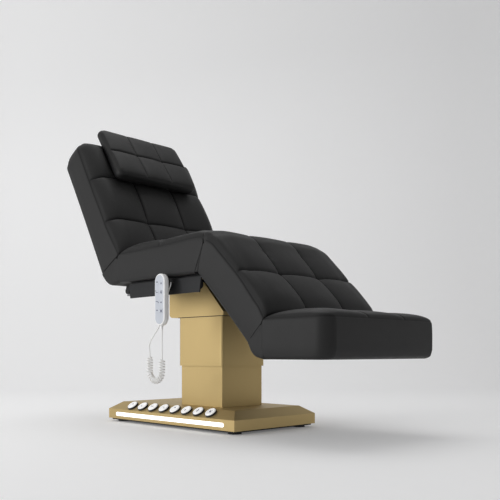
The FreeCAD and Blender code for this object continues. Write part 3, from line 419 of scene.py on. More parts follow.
def make_finishes(colours):
    """Every finish of the bed, kept by its plain name."""
    hide = hide_grain_group()
    brush = brush_group()
    fine = fine_texture_group()
    leather = (colours.leather, hide, (0.88, 1.14), (0.48, 0.60), (0.12, 0.0006))
    # The leather gets painted shade in its seam grooves, under its edge seams and at its end gaps.
    finishes["leather"] = shaded_material("BlackLeather", *leather, specular=0.27, sewn=True)
    upright = (brush_fine, brush_fine, brush_long)
    lengthwise = (brush_long, brush_fine, brush_fine)
    for finish, name, roughness, stretch in (
        ("gold_upright", "BrushedGoldUpright", (0.48, 0.60), upright),
        ("gold_lengthwise", "BrushedGoldLengthwise", (0.46, 0.58), lengthwise),
    ):
        finishes[finish] = shaded_material(
            name, colours.gold, brush, (0.92, 1.08), roughness, (0.05, 0.0003), 0.9, stretch
        )
    finishes["steel"] = shaded_material(
        "TurnedSteel", (0.62, 0.62, 0.63), brush, (0.85, 1.1), (0.18, 0.30), (0.04, 0.0002), 1.0
    )
    coat = (colours.black_metal, fine, (0.85, 1.2), (0.46, 0.58), (0.18, 0.0004))
    finishes["black_metal"] = shaded_material("BlackPowderCoat", *coat, specular=0.22)
    glossy_white = ((0.97, 1.02), (0.24, 0.34), (0.05, 0.0002))
    printed = ((0.9, 1.1), (0.45, 0.55), (0.02, 0.0001))
    black = (0.022, 0.022, 0.023)
    moulded = {
        "lining": ("BlackLining", colours.black_metal, (0.6, 0.9), (0.75, 0.9), (0.3, 0.0006)),
        "black_plastic": ("BlackPlastic", black, (0.8, 1.2), (0.40, 0.52), (0.15, 0.0003)),
        "white_plastic": ("WhitePlastic", colours.white_plastic, *glossy_white),
        "lit_cap": ("LitCap", colours.white_plastic, *glossy_white),
        "overlay": ("HandsetFilm", colours.overlay, (0.95, 1.04), (0.30, 0.40), (0.06, 0.0002)),
        "symbol": ("PrintedSign", colours.symbol, *printed),
        "cap_sign": ("CapSign", colours.cap_sign, *printed),
        "sheath": ("CordSheath", colours.sheath, (0.94, 1.05), (0.40, 0.52), (0.12, 0.0003)),
        "rubber": ("FootRubber", (0.02, 0.02, 0.02), (0.8, 1.2), (0.7, 0.85), (0.3, 0.0006)),
        "glow": ("LightDiffuser", (0.9, 0.92, 0.95), (0.98, 1.02), (0.35, 0.45), (0.03, 0.0002)),
    }
    for finish, (name, colour, tones, roughness, bump) in moulded.items():
        finishes[finish] = shaded_material(name, colour, fine, tones, roughness, bump)
    # The light strip is a lamp; the switch caps' weak glow is painted light that brightens their white.
    for finish, strength in (("glow", 1.1), ("lit_cap", 0.24)):
        shader = finishes[finish].node_tree.nodes["Principled BSDF"]
        shader.inputs["Emission Color"].default_value = (1, 1, 1, 1)
        shader.inputs["Emission Strength"].default_value = strength


class BED_OT_finishes(bpy.types.Operator):
    """Make the leather, gold, metal, plastic and cord finishes"""

    bl_idname = "bed.finishes"
    bl_label = "Finishes"

    def execute(self, context):
        make_finishes(context.scene.bed_colours)
        return {"FINISHED"}


# Quilted cushions. A round is the power and the root of a lobe's arch.
seam_inset = 0.0030
edge_roll = 0.062
edge_round = (2.4, 0.43)
tile_round = (2.0, 0.62)
puff_power = 0.9
puff_gain = 3
side_draw = 0.003
# Reach of the painted shade line along the side edge.
edge_painted_shade_reach = 0.0025
ripple_pitch = 190
ripple_reach = 0.014
waver_turn = 2.4
waver_pitch = 18
waver_spread = 30
wrinkle_height = 0.0014
wrinkle_pitch = 6.5
knee_radius = 0.105
knee_run = 0.046
knee_calm = 0.09
knee_calm_share = 0.65
seam_crowding = 0.7
# Side panel under the edge seam: distance down and how far in, below zero where it bulges out.
side_profile = [(0.0016, -0.0006), (0.0034, -0.0026), (0.007, -0.0036)]
side_profile += [(0.014, -0.0044), (0.022, -0.0048)]
side_shares = (0.3, 0.42, 0.54, 0.66, 0.76)
side_bulge = 0.0050
side_swell = 0.0006
side_foot = 0.003
edge_steps = 5
free_end_inset = 0.002
square_end = 0.7
# Painted shade: the top of the side panel under the edge seam, and a thin band at each end where the
# pad meets a fold's gap.
edge_painted_shade_drop = 0.002
end_painted_shade_reach = 0.0012
end_gap_painted_shade = 0.35
pads = {}


def lobe_share(x, breaks, levels):
    """Height share of a row of quilted lobes at x, sewn down at each break."""
    last = len(breaks) - 2
    for i in range(last + 1):
        if x <= breaks[i + 1] or i == last:
            share = min(1, max(0, (x - breaks[i]) / (breaks[i + 1] - breaks[i])))
            nearest = i if share < 0.5 else i + 1
            ground = levels[nearest]
            at_edge = nearest in (0, last + 1) and ground == 0
            power, root = edge_round if at_edge else tile_round
            arch = (1 - abs(2 * share - 1) ** power) ** root
            return ground + (1 - ground) * arch
    return 0


def lobe_stations(breaks, cells):
    """Stations along quilted lobes, closer together at the seams."""
    stations = [breaks[0]]
    for low, high in zip(breaks, breaks[1:]):
        for k in range(1, cells + 1):
            even = k / cells
            crowded = 0.5 - 0.5 * math.cos(math.pi * even)
            share = (1 - seam_crowding) * even + seam_crowding * crowded
            stations.append(low + (high - low) * share)
    return stations


def smooth_step(share):
    return share * share * (3 - 2 * share)


def groove_at(off, sizes):
    """Depth share of a sewn groove at a distance from its seam."""
    return math.exp(-((off / sizes.seam_width) ** 2))


class Pad:
    """A padded section in its own frame: X along, Y across, Z out of the padded face."""

    def __init__(self, length, depth, crown, fall, rows, start, end, edges, sizes, free_radius=0.0):
        self.length = length
        self.top = hinge_drop
        self.bottom = hinge_drop - depth
        self.crown = crown
        self.start_nip, self.start_lean, start_level = start
        self.end_nip, self.end_lean, end_level = end
        self.edges = edges
        self.sizes = sizes
        self.free_radius = free_radius
        self.low = self.start_nip
        self.high = length - (free_end_inset if free_radius else self.end_nip)
        self.rows = [self.low + (self.high - self.low) * row for row in rows]
        self.columns = [-half_width, -half_width / 3, half_width / 3, half_width]
        self.inner = 1 - fall / crown
        self.row_levels = [start_level] + [self.inner] * (len(rows) - 2) + [end_level]
        self.seed = length * 17
        self.pressed = None

    def start_at(self, z):
        """Where the section starts at height z."""
        return self.end_gap(z, self.start_nip, self.start_lean)

    def end_at(self, z):
        """Where the section ends at height z."""
        if self.free_radius:
            return self.length
        return self.length - self.end_gap(z, self.end_nip, self.end_lean)

    def end_gap(self, z, nip, lean):
        """Distance from the hinge: nipped in above it and leaning away below it."""
        if z >= 0:
            return cushion_gap + (nip - cushion_gap) * z / self.top
        return cushion_gap + math.tan(math.radians(lean)) * -z

    def share_at(self, x):
        return min(1, max(0, x / self.length))

    def half_at(self, x):
        """Half width at x: drawn in along the side and rounded at a free end."""
        half = half_width - side_draw * math.sin(math.pi * self.share_at(x))
        if self.free_radius and x > self.length - corner_radius:
            reach = min(corner_radius, x - (self.length - corner_radius))
            half -= corner_radius - math.sqrt(max(0, corner_radius**2 - reach**2))
        return half

    def edge_at(self, x):
        """Height of the seam between the padded face and the side panel."""
        share = self.share_at(x)
        for (first, low), (second, high) in zip(self.edges, self.edges[1:]):
            if share <= second:
                local = (share - first) / (second - first)
                return low + (high - low) * smooth_step(local)
        return self.edges[-1][1]

    def from_knee(self, x):
        """Distance from the knee, for the two sections that meet there."""
        if self.row_levels[0]:
            return x
        return self.length - x if self.row_levels[-1] else self.length

    def knee_fall(self, x):
        """How far the padded face drops towards the rounded knee."""
        over = max(0, knee_run - self.from_knee(x))
        return knee_radius - math.sqrt(knee_radius**2 - over**2)

    def columns_at(self, x):
        """Column seam levels, pulled flatter where the cover bends over the knee."""
        calm = knee_calm_share * max(0, 1 - self.from_knee(x) / knee_calm)
        level = self.inner + (1 - self.inner) * calm
        return [0, level, level, 0]

    def side_at(self, x, y):
        """Plan place of a point whose share across the bed is y over the half width."""
        seam = self.columns[-2]
        if abs(y) <= seam:
            return y
        share = (abs(y) - seam) / (half_width - seam)
        return math.copysign(seam + share * (self.half_at(x) - seam_inset - seam), y)

    def height(self, x, y):
        """Height of the padded face and how near it is to a seam or the side edge, from 0 to 1, which
        is the mask of the painted seam shade.
        """
        sizes = self.sizes
        row = lobe_share(x, self.rows, self.row_levels)
        column = lobe_share(y, self.columns, self.columns_at(x))
        puff = row * column
        away = half_width - abs(y)
        if self.free_radius:
            away = min(away, self.high - x)
        fade = max(0, 1 - away / edge_roll) ** 2
        rise = self.top + (self.edge_at(x) - self.top) * fade
        rise += self.crown * puff**puff_power - self.knee_fall(x)
        # Mask of the painted shade: the side edge first, then the seam grooves below.
        edge = min(1, puff * puff_gain)
        near = max(0, 1 - away / edge_painted_shade_reach)
        for value, breaks, other in ((x, self.rows[1:-1], y), (y, self.columns[1:-1], x)):
            for seam in breaks:
                off = abs(value - seam)
                groove = groove_at(off, sizes)
                near = max(near, groove)
                rise -= sizes.seam_depth * edge * groove
                spot = Vector((other * waver_pitch, seam * waver_spread, self.seed))
                ripple = math.sin(other * ripple_pitch + waver_turn * noise.noise(spot))
                rise += sizes.pucker * edge * ripple * math.exp(-off / ripple_reach)
        spot = Vector((x * wrinkle_pitch, y * wrinkle_pitch, self.seed))
        rise += wrinkle_height * edge * noise.noise(spot)
        if self.pressed:
            rise = min(rise, self.pressed(x, y))
        return rise, near


def side_levels(depth):
    """Levels of a side panel, down to its rounded lower edge: distance down and how far in."""
    levels = list(side_profile)
    for share in side_shares:
        levels.append((depth * share, -side_bulge - side_swell * math.sin(math.pi * share)))
    for k in range(edge_steps + 1):
        turn = math.pi / 2 * k / edge_steps
        rise = edge_radius * (1 - math.sin(turn))
        levels.append((depth - rise, edge_radius * (1 - math.cos(turn)) - side_foot))
    return sorted(levels)


def pad_surface(pad):
    """Closed mesh of a quilted pad: crowned tiles, a seamed edge, side panels and a flat underside."""
    along = lobe_stations(pad.rows, pad.sizes.lobe_cells)
    across = lobe_stations(pad.columns, pad.sizes.lobe_cells)
    depth = pad.top - pad.bottom
    end_radius = pad.free_radius

    def push_of(facing, fall, inward):
        """How far a side point moves outward; a free end is rounded at its lower edge."""
        at_end = facing.x > square_end and not end_radius
        push = 0 if facing.x < -square_end or at_end else -inward
        if end_radius and facing.x > 0:
            low_part = max(0, end_radius - (depth - fall))
            reach = math.sqrt(max(0, end_radius * end_radius - low_part * low_part))
            push -= (end_radius - reach) * facing.x
        return push

    def build(grid):
        # The seam layer is the mask of the painted shade in the grooves, under the edge seam and at the
        # end gaps.
        seam = grid.verts.layers.float.new("seam")
        rows = []
        for x in along:
            row = []
            for y in across:
                z, near = pad.height(x, y)
                vert = grid.verts.new((x, pad.side_at(x, y), z))
                vert[seam] = near
                row.append(vert)
            rows.append(row)
        before = [rows[i][j] for i, j in sheet_faces(grid, rows)]
        outline = [Vector((v.co.x, v.co.y)) for v in before]
        heights = [v.co.z for v in before]
        count = len(before)
        normals = []
        for k in range(count):
            way = outline[(k + 1) % count] - outline[k - 1]
            normals.append(Vector((way.y, -way.x)).normalized())
        for fall, inward in side_levels(depth):
            fresh = []
            for point, facing, height in zip(outline, normals, heights):
                point = point + facing * push_of(facing, fall, inward)
                z = height - fall * (height - pad.bottom) / depth
                first = pad.start_at(height)
                span = pad.end_at(height) - first
                share = (point.x - first) / span
                low = pad.start_at(z)
                high = pad.end_at(z)
                vert = grid.verts.new((low + share * (high - low), point.y, z))
                close = share * span if end_radius else min(share, 1 - share) * span
                # Painted shade: full just under the edge seam, part at the ends where the pad meets a
                # fold.
                vert[seam] = 1 if fall < edge_painted_shade_drop else end_gap_painted_shade if close < end_painted_shade_reach else 0
                fresh.append(vert)
            skin(grid, before, fresh)
            before = fresh
        grid.faces.new(list(reversed(before)))

    return mesh_of("quilted_pad", build)


# Room in the pads for the mechanism, as boxes for carve.
cut_past = 0.02
lane_roof = 0.001


def lane_boxes(place, pad, start, end):
    """Two slots for the hinge lugs and plates."""
    boxes = []
    inner = lug_lane - slot_room
    outer = plate_lane + plate_thickness + slot_room
    for low, high in ((inner, outer), (-outer, -inner)):
        top = (end, high, hinge_drop - lane_roof)
        boxes.append((place, (start, low, pad.bottom - cut_past), top))
    return boxes


def pocket_box(place, pad, start, end):
    """Pocket for the frame under the board."""
    wide = half_width - pocket_margin
    low = (start, -wide, pad.bottom - cut_past)
    return (place, low, (pad.length - end, wide, pad.bottom + pocket_rise))


def link_lane_limits():
    return (link_lane - plate_thickness - link_room, link_lane + link_thickness + link_room)


def link_box(place, pad, start, end, high):
    """Slot for the levelling link."""
    low, wide = link_lane_limits()
    return (place, (start, low, pad.bottom - cut_past), (end, wide, high))


class BED_OT_cushions(bpy.types.Operator):
    """Make the quilted seat, back, calf and foot cushions"""

    bl_idname = "bed.cushions"
    bl_label = "Quilted cushions"

    def execute(self, context):
        sizes = context.scene.bed_sizes
        # An end is its nip above the hinge, its lean in degrees below it and its seam's level.
        crease = (hinge_drop * math.tan(math.radians(37.5)) + cushion_gap, 0, 0)
        bend = (hinge_drop * math.tan(calf_turn / 2) + cushion_gap, 0, 0)
        free = (0, 0, 0)

        edges = [(0, 0.014), (0.5, 0.018), (0.9, 0.026), (1, 0.030)]
        pad = Pad(
            length=0.536, depth=0.120, crown=0.046, fall=0.010, rows=(0, 0.5, 1),
            start=crease, end=(cushion_gap, 25, 1), edges=edges, sizes=sizes,
        )
        lanes = ((-0.02, 0.114), (0.390, 0.56))
        link = (0.390, 0.56, -0.042)
        self.dress("seat", pad, place_of(back_hinge, 0), (0.056, 0.088), lanes, link)

        edges = [(0, 0.010), (0.3, -0.009), (0.6, -0.014), (1, -0.014)]
        pad = Pad(
            length=0.642, depth=0.150, crown=0.029, fall=0.016, rows=(0, 0.284, 0.653, 1),
            start=crease, end=free, edges=edges, sizes=sizes, free_radius=0.062,
        )
        pad.pressed = pillow_seat
        self.dress("back", pad, place_of(back_hinge, 120), (0.060, 0.054), ((-0.02, 0.118),))

        edges = [(0, 0.030), (0.15, 0.034), (0.5, 0.037), (0.85, 0.029), (1, 0.018)]
        pad = Pad(
            length=0.420, depth=0.112, crown=0.056, fall=0.015, rows=(0, 0.5, 1),
            start=(cushion_gap, 29, 1), end=bend, edges=edges, sizes=sizes,
        )
        lanes = ((-0.028, 0.142), (0.308, 0.45))
        link = (-0.112, 0.532, -0.029)
        self.dress("calf", pad, place_of(knee_hinge, -45), (0.084, 0.054), lanes, link)

        edges = [(0, 0.016), (1, 0.016)]
        pad = Pad(
            length=0.275, depth=0.135, crown=0.032, fall=0.004, rows=(0, 1),
            start=bend, end=free, edges=edges, sizes=sizes, free_radius=0.024,
        )
        link = (-0.02, 0.088, -0.042)
        self.dress("foot", pad, place_of(bend_hinge, 0), (0.060, 0.054), ((-0.02, 0.118),), link)
        return {"FINISHED"}

    def dress(self, body, pad, place, pocket, lanes, link=None):
        """Mesh of one pad in place of the frame's cushion, with room for frame, hinges and link."""
        cuts = [pocket_box(place, pad, *pocket)]
        if link:
            cuts.append(link_box(place, pad, *link))
        for lane in lanes:
            cuts += lane_boxes(place, pad, *lane)
        mesh = pad_surface(pad)
        mesh.transform(place)
        piece = add_piece(body + "_pad", mesh, finishes["leather"])
        carve(piece, cuts)
        piece.data.shade_smooth()
        piece.data.set_sharp_from_angle(angle=math.radians(55))
        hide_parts(body + "_cushion")
        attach(piece, body)
        pads[body] = pad


# Head pillow.
pillow_start = 0.399
pillow_length = 0.292
pillow_half = 0.220
pillow_thickness = 0.050
pillow_low = 0.038
pillow_tilt = math.radians(4)
pillow_wedge = 0.016
pillow_corner = 0.024
pillow_rim = 0.013
pillow_puff = 0.012
pillow_inset = 0.006
pillow_seam_share = 0.8
pillow_wrinkle_height = 0.0012
pillow_wrinkle_pitch = 9
pillow_seed = 12.5
pillow_room = 0.001
pillow_rise = 1.4
# Boxed edge of the pillow below its rim: height and how far it stands in.
pillow_side = [(pillow_rim - 0.0014, 0.0052), (pillow_rim - 0.0036, 0.0030)]
pillow_side += [(pillow_rim - 0.008, 0.0012), (0, 0), (-0.010, 0.0002), (-0.016, 0.002)]
pillow_side += [(-0.0205, 0.006), (-0.0233, 0.011), (-0.0246, 0.018), (-0.025, 0.030)]


def pillow_seat(x, y):
    """Highest the back's padded face may stand under and beside the pillow."""
    past = max(pillow_start - x, 0, abs(y) - pillow_half)
    under = pillow_low - (x - pillow_start) * math.tan(pillow_tilt) - pillow_room
    return under + past * pillow_rise


class BED_OT_pillow(bpy.types.Operator):
    """Make the head pillow: two rows of three tiles on a soft boxed edge"""

    bl_idname = "bed.pillow"
    bl_label = "Head pillow"

    def execute(self, context):
        sizes = context.scene.bed_sizes
        place = place_of(back_hinge, 120) @ Matrix.Translation((pillow_start, 0, pillow_low))
        place = place @ Matrix.Rotation(pillow_tilt, 4, "Y")
        place = place @ Matrix.Translation((0, 0, pillow_thickness / 2))
        mesh = mesh_of("head_pillow_pad", lambda grid: self.build(grid, sizes))
        mesh.transform(place)
        piece = add_piece("head_pillow_pad", mesh, finishes["leather"])
        piece.data.set_sharp_from_angle(angle=math.radians(60))
        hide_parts("head_pillow")
        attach(piece, "back")
        return {"FINISHED"}

    def spot(self, x, y, inward):
        """Move a plan point inside the pillow's rounded outline."""
        reach_x = pillow_length / 2 - inward
        reach_y = pillow_half - inward
        px = (x / pillow_length * 2 - 1) * reach_x
        py = y / pillow_half * reach_y
        over_x = abs(px) - (reach_x - pillow_corner)
        over_y = abs(py) - (reach_y - pillow_corner)
        if over_x > 0 and over_y > 0:
            scale = max(over_x, over_y) / math.hypot(over_x, over_y)
            px = math.copysign(reach_x - pillow_corner + over_x * scale, px)
            py = math.copysign(reach_y - pillow_corner + over_y * scale, py)
        return px + pillow_length / 2, py

    def wedged(self, x, z):
        """Height with the neck end standing further out than the head end."""
        under = pillow_thickness / 2
        return z + pillow_wedge * (1 - x / pillow_length) * min(1, (z + under) / under)

    def build(self, grid, sizes):
        seam = grid.verts.layers.float.new("seam")
        rows = [0, pillow_length / 2, pillow_length]
        columns = [-pillow_half, -pillow_half / 3, pillow_half / 3, pillow_half]
        along = lobe_stations(rows, sizes.lobe_cells)
        across = lobe_stations(columns, sizes.lobe_cells)
        row_levels = [0, sizes.seam_level, 0]
        column_levels = [0, sizes.seam_level, sizes.seam_level, 0]
        lines = []
        for x in along:
            line = []
            for y in across:
                puff = lobe_share(x, rows, row_levels) * lobe_share(y, columns, column_levels)
                edge = min(1, puff * puff_gain)
                z = pillow_rim + pillow_puff * puff**puff_power
                grooves = [groove_at(x - at, sizes) for at in rows[1:-1]]
                grooves += [groove_at(y - at, sizes) for at in columns[1:-1]]
                z -= sizes.seam_depth * pillow_seam_share * edge * sum(grooves)
                spot = Vector((x * pillow_wrinkle_pitch, y * pillow_wrinkle_pitch, pillow_seed))
                z += pillow_wrinkle_height * edge * noise.noise(spot)
                px, py = self.spot(x, y, pillow_inset)
                vert = grid.verts.new((px, py, self.wedged(px, z)))
                # The groove share is also the mask of the painted shade in the pillow's seams.
                vert[seam] = max(grooves)
                line.append(vert)
            lines.append(line)
        places = sheet_faces(grid, lines)
        before = [lines[i][j] for i, j in places]
        for z, inward in pillow_side:
            spots = [self.spot(along[i], across[j], inward) for i, j in places]
            fresh = [grid.verts.new((px, py, self.wedged(px, z))) for px, py in spots]
            skin(grid, before, fresh)
            before = fresh
        grid.faces.new(list(reversed(before)))


# Soft folds at the bends.
fold_core = 0.006
fold_wall = 0.055
fold_soft = 0.012
fold_inner = 0.030
fold_steps = 16
fold_lap = 0.006
fold_proud = 0.0012
fold_swell = 0.005
fold_side_swell = 0.0008
fold_bevel = 0.002
fold_across = 40
fold_wall_cells = 8
fold_soft_cells = 4
fold_clear = 0.01
lap_inset = 0.0008
fold_angle = math.radians(50)
crease_inset = 0.0035
crease_from = 43
crease_sweep = 26
crease_reach = 0.0175
crease_sag = 0.004
pleat_deep = 0.05
pleat_span = 0.106
pleat_taper = 0.010
pleat_crease = 0.0045
pleat_proud = 0.0006
pleat_steps = 8
pleat_cells = 10


def fold_outline(outer, half, steps):
    """Ring of one fold station: radius and Y, with side walls that reach in to the hinge."""
    flat = outer - fold_soft
    cells = fold_wall_cells
    side = [(fold_core + (flat - fold_core) * k / cells, -half) for k in range(cells + 1)]
    for k in range(1, fold_soft_cells + 1):
        angle = math.pi / 2 * k / fold_soft_cells
        side.append((flat + fold_soft * math.sin(angle), -half + fold_soft * (1 - math.cos(angle))))
    across = half - fold_soft
    points = side + [(outer, -across + across * 2 * k / steps) for k in range(1, steps)]
    points += [(radius, -y) for radius, y in reversed(side)]
    wall = half - fold_wall
    points += [(fold_core, wall), (fold_inner, wall - fold_bevel)]
    points += [(fold_inner, (wall - 2 * fold_bevel) * (1 - 2 * k / steps)) for k in range(1, steps)]
    points += [(fold_inner, -wall + fold_bevel), (fold_core, -wall)]
    return points


def dress_fold(name, node, hinge, turn, radii, lane):
    """Wedge of soft cover about Y, from straight down to the turned section."""
    half = half_width + fold_proud
    rings = []
    for k in range(-1, fold_steps + 2):
        share = min(1, max(0, k / fold_steps))
        swell = math.sin(math.pi * share) ** 2
        down = -upward(turn * share)
        past = fold_lap if k < 0 else -fold_lap if k > fold_steps else 0
        lap = Vector((down.z, 0, -down.x)) * past
        inset = lap_inset if lap.length else 0
        reach = radii[0] + (radii[1] - radii[0]) * share + fold_swell * swell - inset
        outline = fold_outline(reach, half + fold_side_swell * swell - inset, fold_across)
        rings.append([hinge - lap + down * radius + Vector((0, y, 0)) for radius, y in outline])
    piece = lofted_cover(name, rings)
    span = max(radii) * 2
    low, high = lane
    carve(piece, [(Matrix.Translation(hinge), (-span, low, -span), (span, high, fold_clear))])
    piece.data.shade_smooth()
    piece.data.set_sharp_from_angle(angle=fold_angle)
    reach = 0.07
    soft_cover(piece, node)


def lofted_cover(name, rings):
    piece = add_piece(name, mesh_of(name, lambda grid: loft(grid, rings)), finishes["leather"])
    piece.data.set_sharp_from_angle(angle=fold_angle)
    return piece


def soft_cover(piece, node):
    """Hide the frame's own fold node, if one is given, and bake the strip's place into its mesh."""
    if node:
        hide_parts(node)
    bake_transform(piece)


class BED_OT_folds(bpy.types.Operator):
    """Make the soft folds of cover at the back, knee and foot bends"""

    bl_idname = "bed.folds"
    bl_label = "Soft folds"

    def execute(self, context):
        lane = (-plate_lane - plate_thickness - slot_room, -lug_lane + slot_room)
        radii = (0.1045, 0.1345)
        dress_fold("back_bend_fold", "back_fold", back_hinge, back_turn, radii, lane)
        radii = (0.1195, 0.0965)
        lane = link_lane_limits()
        dress_fold("foot_bend_fold", "foot_fold", bend_hinge, calf_turn, radii, lane)
        self.crease()
        self.knee()
        self.knee_sides()
        return {"FINISHED"}

    def crease(self):
        """Cover drawn into the crease between seat and back."""
        half = half_width - crease_inset
        root = 0.004
        steps = 8
        middle = 10
        across = [Vector((0, half * (1 - j / middle), 0)) for j in range(2 * middle + 1)]
        rings = []
        for k in range(steps + 1):
            share = k / steps
            out = upward(math.radians(crease_from - crease_sweep * share))
            reach = crease_reach - crease_sag * math.sin(math.pi * share)
            ring = [back_hinge + out * reach + aside for aside in across]
            rings.append(ring + [back_hinge + out * root - aside for aside in across])
        piece = lofted_cover("back_crease_cover", rings)
        soft_cover(piece, None)

    def knee(self):
        """Cover bent over the knee, from the seat's edge to the calf's."""
        seat = pads["seat"]
        calf = pads["calf"]
        cells = 16
        stations = lobe_stations(seat.columns, cells)
        thickness = 0.003
        root = 0.006
        root_from = 0.29

        def ring_at(out, along, pad, x, shift, lift, share=None):
            """Ring across the bed; a share says how far it has turned from the seat to the calf."""
            ring = []
            low = []
            for y in stations:
                top = pad.height(x, y)[0]
                if share is not None:
                    first = seat.height(seat.high, y)[0]
                    second = calf.height(calf.low, y)[0]
                    top = first + (second - first) * share
                place = knee_hinge + along * shift + Vector((0, pad.side_at(x, y), 0))
                ring.append(place + out * (top + lift))
                under = top - thickness if share is None or abs(y) <= root_from else root
                low.append(place + out * under)
            return ring + low[::-1]

        lap = 0.016
        proud = 0.0010
        laps = ((lap, -0.0004), (lap * 0.7, 0.0005), (lap * 0.3, 0.0008))
        forward = Vector((1, 0, 0))
        up = upward(0)
        end = seat.length
        rings = [ring_at(up, forward, seat, end - shift, -shift, lift) for shift, lift in laps]
        for k in range(fold_steps + 1):
            share = k / fold_steps
            rings.append(ring_at(upward(calf_turn * share), forward, seat, end, 0, proud, share))
        out = upward(calf_turn)
        down = Vector((out.z, 0, -out.x))
        rings += [ring_at(out, down, calf, shift, shift, lift) for shift, lift in reversed(laps)]
        piece = lofted_cover("knee_bend_fold", rings)
        soft_cover(piece, "knee_fold")

    def knee_sides(self):
        """Pleats that close the gap beside the knee."""
        first = math.radians(27)
        last = math.radians(14)
        root = 0.004
        inner = half_width - pleat_deep

        def build(grid):
            for side in (-1, 1):
                rings = []
                for k in range(pleat_steps + 1):
                    share = k / pleat_steps
                    down = -upward(first + (last - first) * share)
                    crease = pleat_crease * abs(math.cos(math.pi * share)) ** 4 - pleat_proud
                    out = Vector((0, side * (half_width - crease), 0))
                    deep = Vector((0, side * inner, 0))
                    span = pleat_span - pleat_taper * share
                    falls = [root + span * j / pleat_cells for j in range(pleat_cells + 1)]
                    spots = [knee_hinge + down * fall for fall in falls]
                    ring = [spot + out for spot in spots]
                    rings.append(ring + [spot + deep for spot in reversed(spots)])
                loft(grid, rings)

        piece = add_piece("knee_side_folds", mesh_of("knee_side_folds", build), finishes["leather"])
        piece.data.set_sharp_from_angle(angle=fold_angle)
        soft_cover(piece, None)


# Finishes of the frame's own pieces.
class BED_OT_metal(bpy.types.Operator):
    """Give the plinth, column, rails, drives and frames their finishes"""

    bl_idname = "bed.metal"
    bl_label = "Metal and plastic finishes"

    def execute(self, context):
        finish_of = {
            "gold_upright": ("lower_column", "column_sleeve", "head_block"),
            "gold_lengthwise": ("base_shell",),
            "black_metal": (
                "rail_near", "rail_far", "base_plate", "seat_frame", "back_frame",
                "calf_frame", "foot_frame", "lift_carriage", "leg_link", "handset_hook",
            ),
            "lining": ("seat_board", "back_board", "calf_board", "foot_board"),
            "steel": (
                "back_hinge_pins", "knee_hinge_pins", "foot_hinge_pins", "tilt_pin",
                "lift_rod", "tilt_rod", "back_rod", "leg_rod",
            ),
            "black_plastic": (
                "switch_bodies", "control_box", "mains_inlet", "glide_pads", "lift_actuator",
                "tilt_actuator", "back_actuator", "leg_actuator", "cord_gland",
            ),
            "rubber": ("levelling_feet",),
            "glow": ("light_strip",),
        }
        for finish, names in finish_of.items():
            for name in names:
                node = frame["nodes"][name]
                node.data.materials.clear()
                node.data.materials.append(finishes[finish])
        self.lay_painted_shadow()
        return {"FINISHED"}

    def lay_painted_shadow(self):
        """Black strip under the head block, round the sleeve: painted shadow standing in for the dark
        line under the block's overhang.
        """
        low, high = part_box("column_sleeve")
        top = high.z
        room = 0.0002
        proud = 0.0024
        thick = 0.0026

        def outline(away, z):
            x = high.x + away
            y = high.y + away
            left = low.x - away
            return [Vector((a, b, z)) for a, b in ((x, y), (left, y), (left, -y), (x, -y))]

        def build(grid):
            levels = ((room, top), (proud, top), (proud, top - thick), (room, top - thick))
            rings = [[grid.verts.new(point) for point in outline(*level)] for level in levels]
            for first, second in zip(rings, rings[1:] + rings[:1]):
                skin(grid, first, second)

        # Dark rubber finish on a strip where only the block's shadow falls: painted shadow.
        piece = add_piece("block_painted_shadow", mesh_of("block_painted_shadow", build), finishes["rubber"], False)
        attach(piece, "lift")


# Printed signs on the foot switches and the handset, as polygons in shares of their size.
sign_rise = 0.0003
arrow_up = [(-0.5, 0.1), (0.5, 0.1), (0, 0.75)]
arrow_down = [(0.5, -0.1), (-0.5, -0.1), (0, -0.75)]
seat_bar = [(-0.7, -0.15), (0.5, -0.15), (0.5, 0.05), (-0.7, 0.05)]
back_bar = [(-0.75, 0.12), (-0.55, 0.12), (-0.85, 0.85), (-1.05, 0.85)]
bed_bar = [(-0.7, 0.05), (0.3, 0.05), (0.3, 0.25), (-0.7, 0.25)]
leg_bar = [(0.38, 0.2), (0.3, 0.02), (0.8, -0.6), (0.95, -0.45)]
lamp_disc = [(0.45 * math.cos(math.pi * k / 6), 0.45 * math.sin(math.pi * k / 6)) for k in range(12)]
lamp_ray = [(0.6, -0.08), (0.95, -0.08), (0.95, 0.08), (0.6, 0.08)]


def turned_ray(k):
    turn = math.pi / 2 * k + math.pi / 4
    c, s = math.cos(turn), math.sin(turn)
    return [(x * c - y * s, x * s + y * c) for x, y in lamp_ray]


sign_shapes = {
    "up": [arrow_up],
    "down": [arrow_down],
    "both": [arrow_up, arrow_down],
    "seat": [seat_bar, back_bar],
    "leg": [bed_bar, leg_bar],
    "light": [lamp_disc] + [turned_ray(k) for k in range(4)],
}


def flat_sign(grid, shape, origin, right, up, out, size):
    """Thin raised sign made of plates."""
    for points in sign_shapes[shape]:
        lower = [grid.verts.new(origin + right * (x * size) + up * (y * size)) for x, y in points]
        raised = bmesh.ops.extrude_face_region(grid, geom=[grid.faces.new(lower)])
        for item in raised["geom"]:
            if isinstance(item, bmesh.types.BMVert):
                item.co += out * sign_rise


# Dished switch cap: radius and height from its top.
cap_profile = [(0.0219, -0.0048), (0.0219, -0.0026), (0.0215, -0.0013), (0.0206, -0.0005)]
cap_profile += [(0.0190, -0.0001), (0.0172, 0.0), (0.0150, -0.0004), (0.0120, -0.0007)]
cap_profile += [(0.0060, -0.0008)]
cap_sign_size = 0.0125
cap_sign_depth = 0.00075
cap_steps = 48
top_room = 0.0002


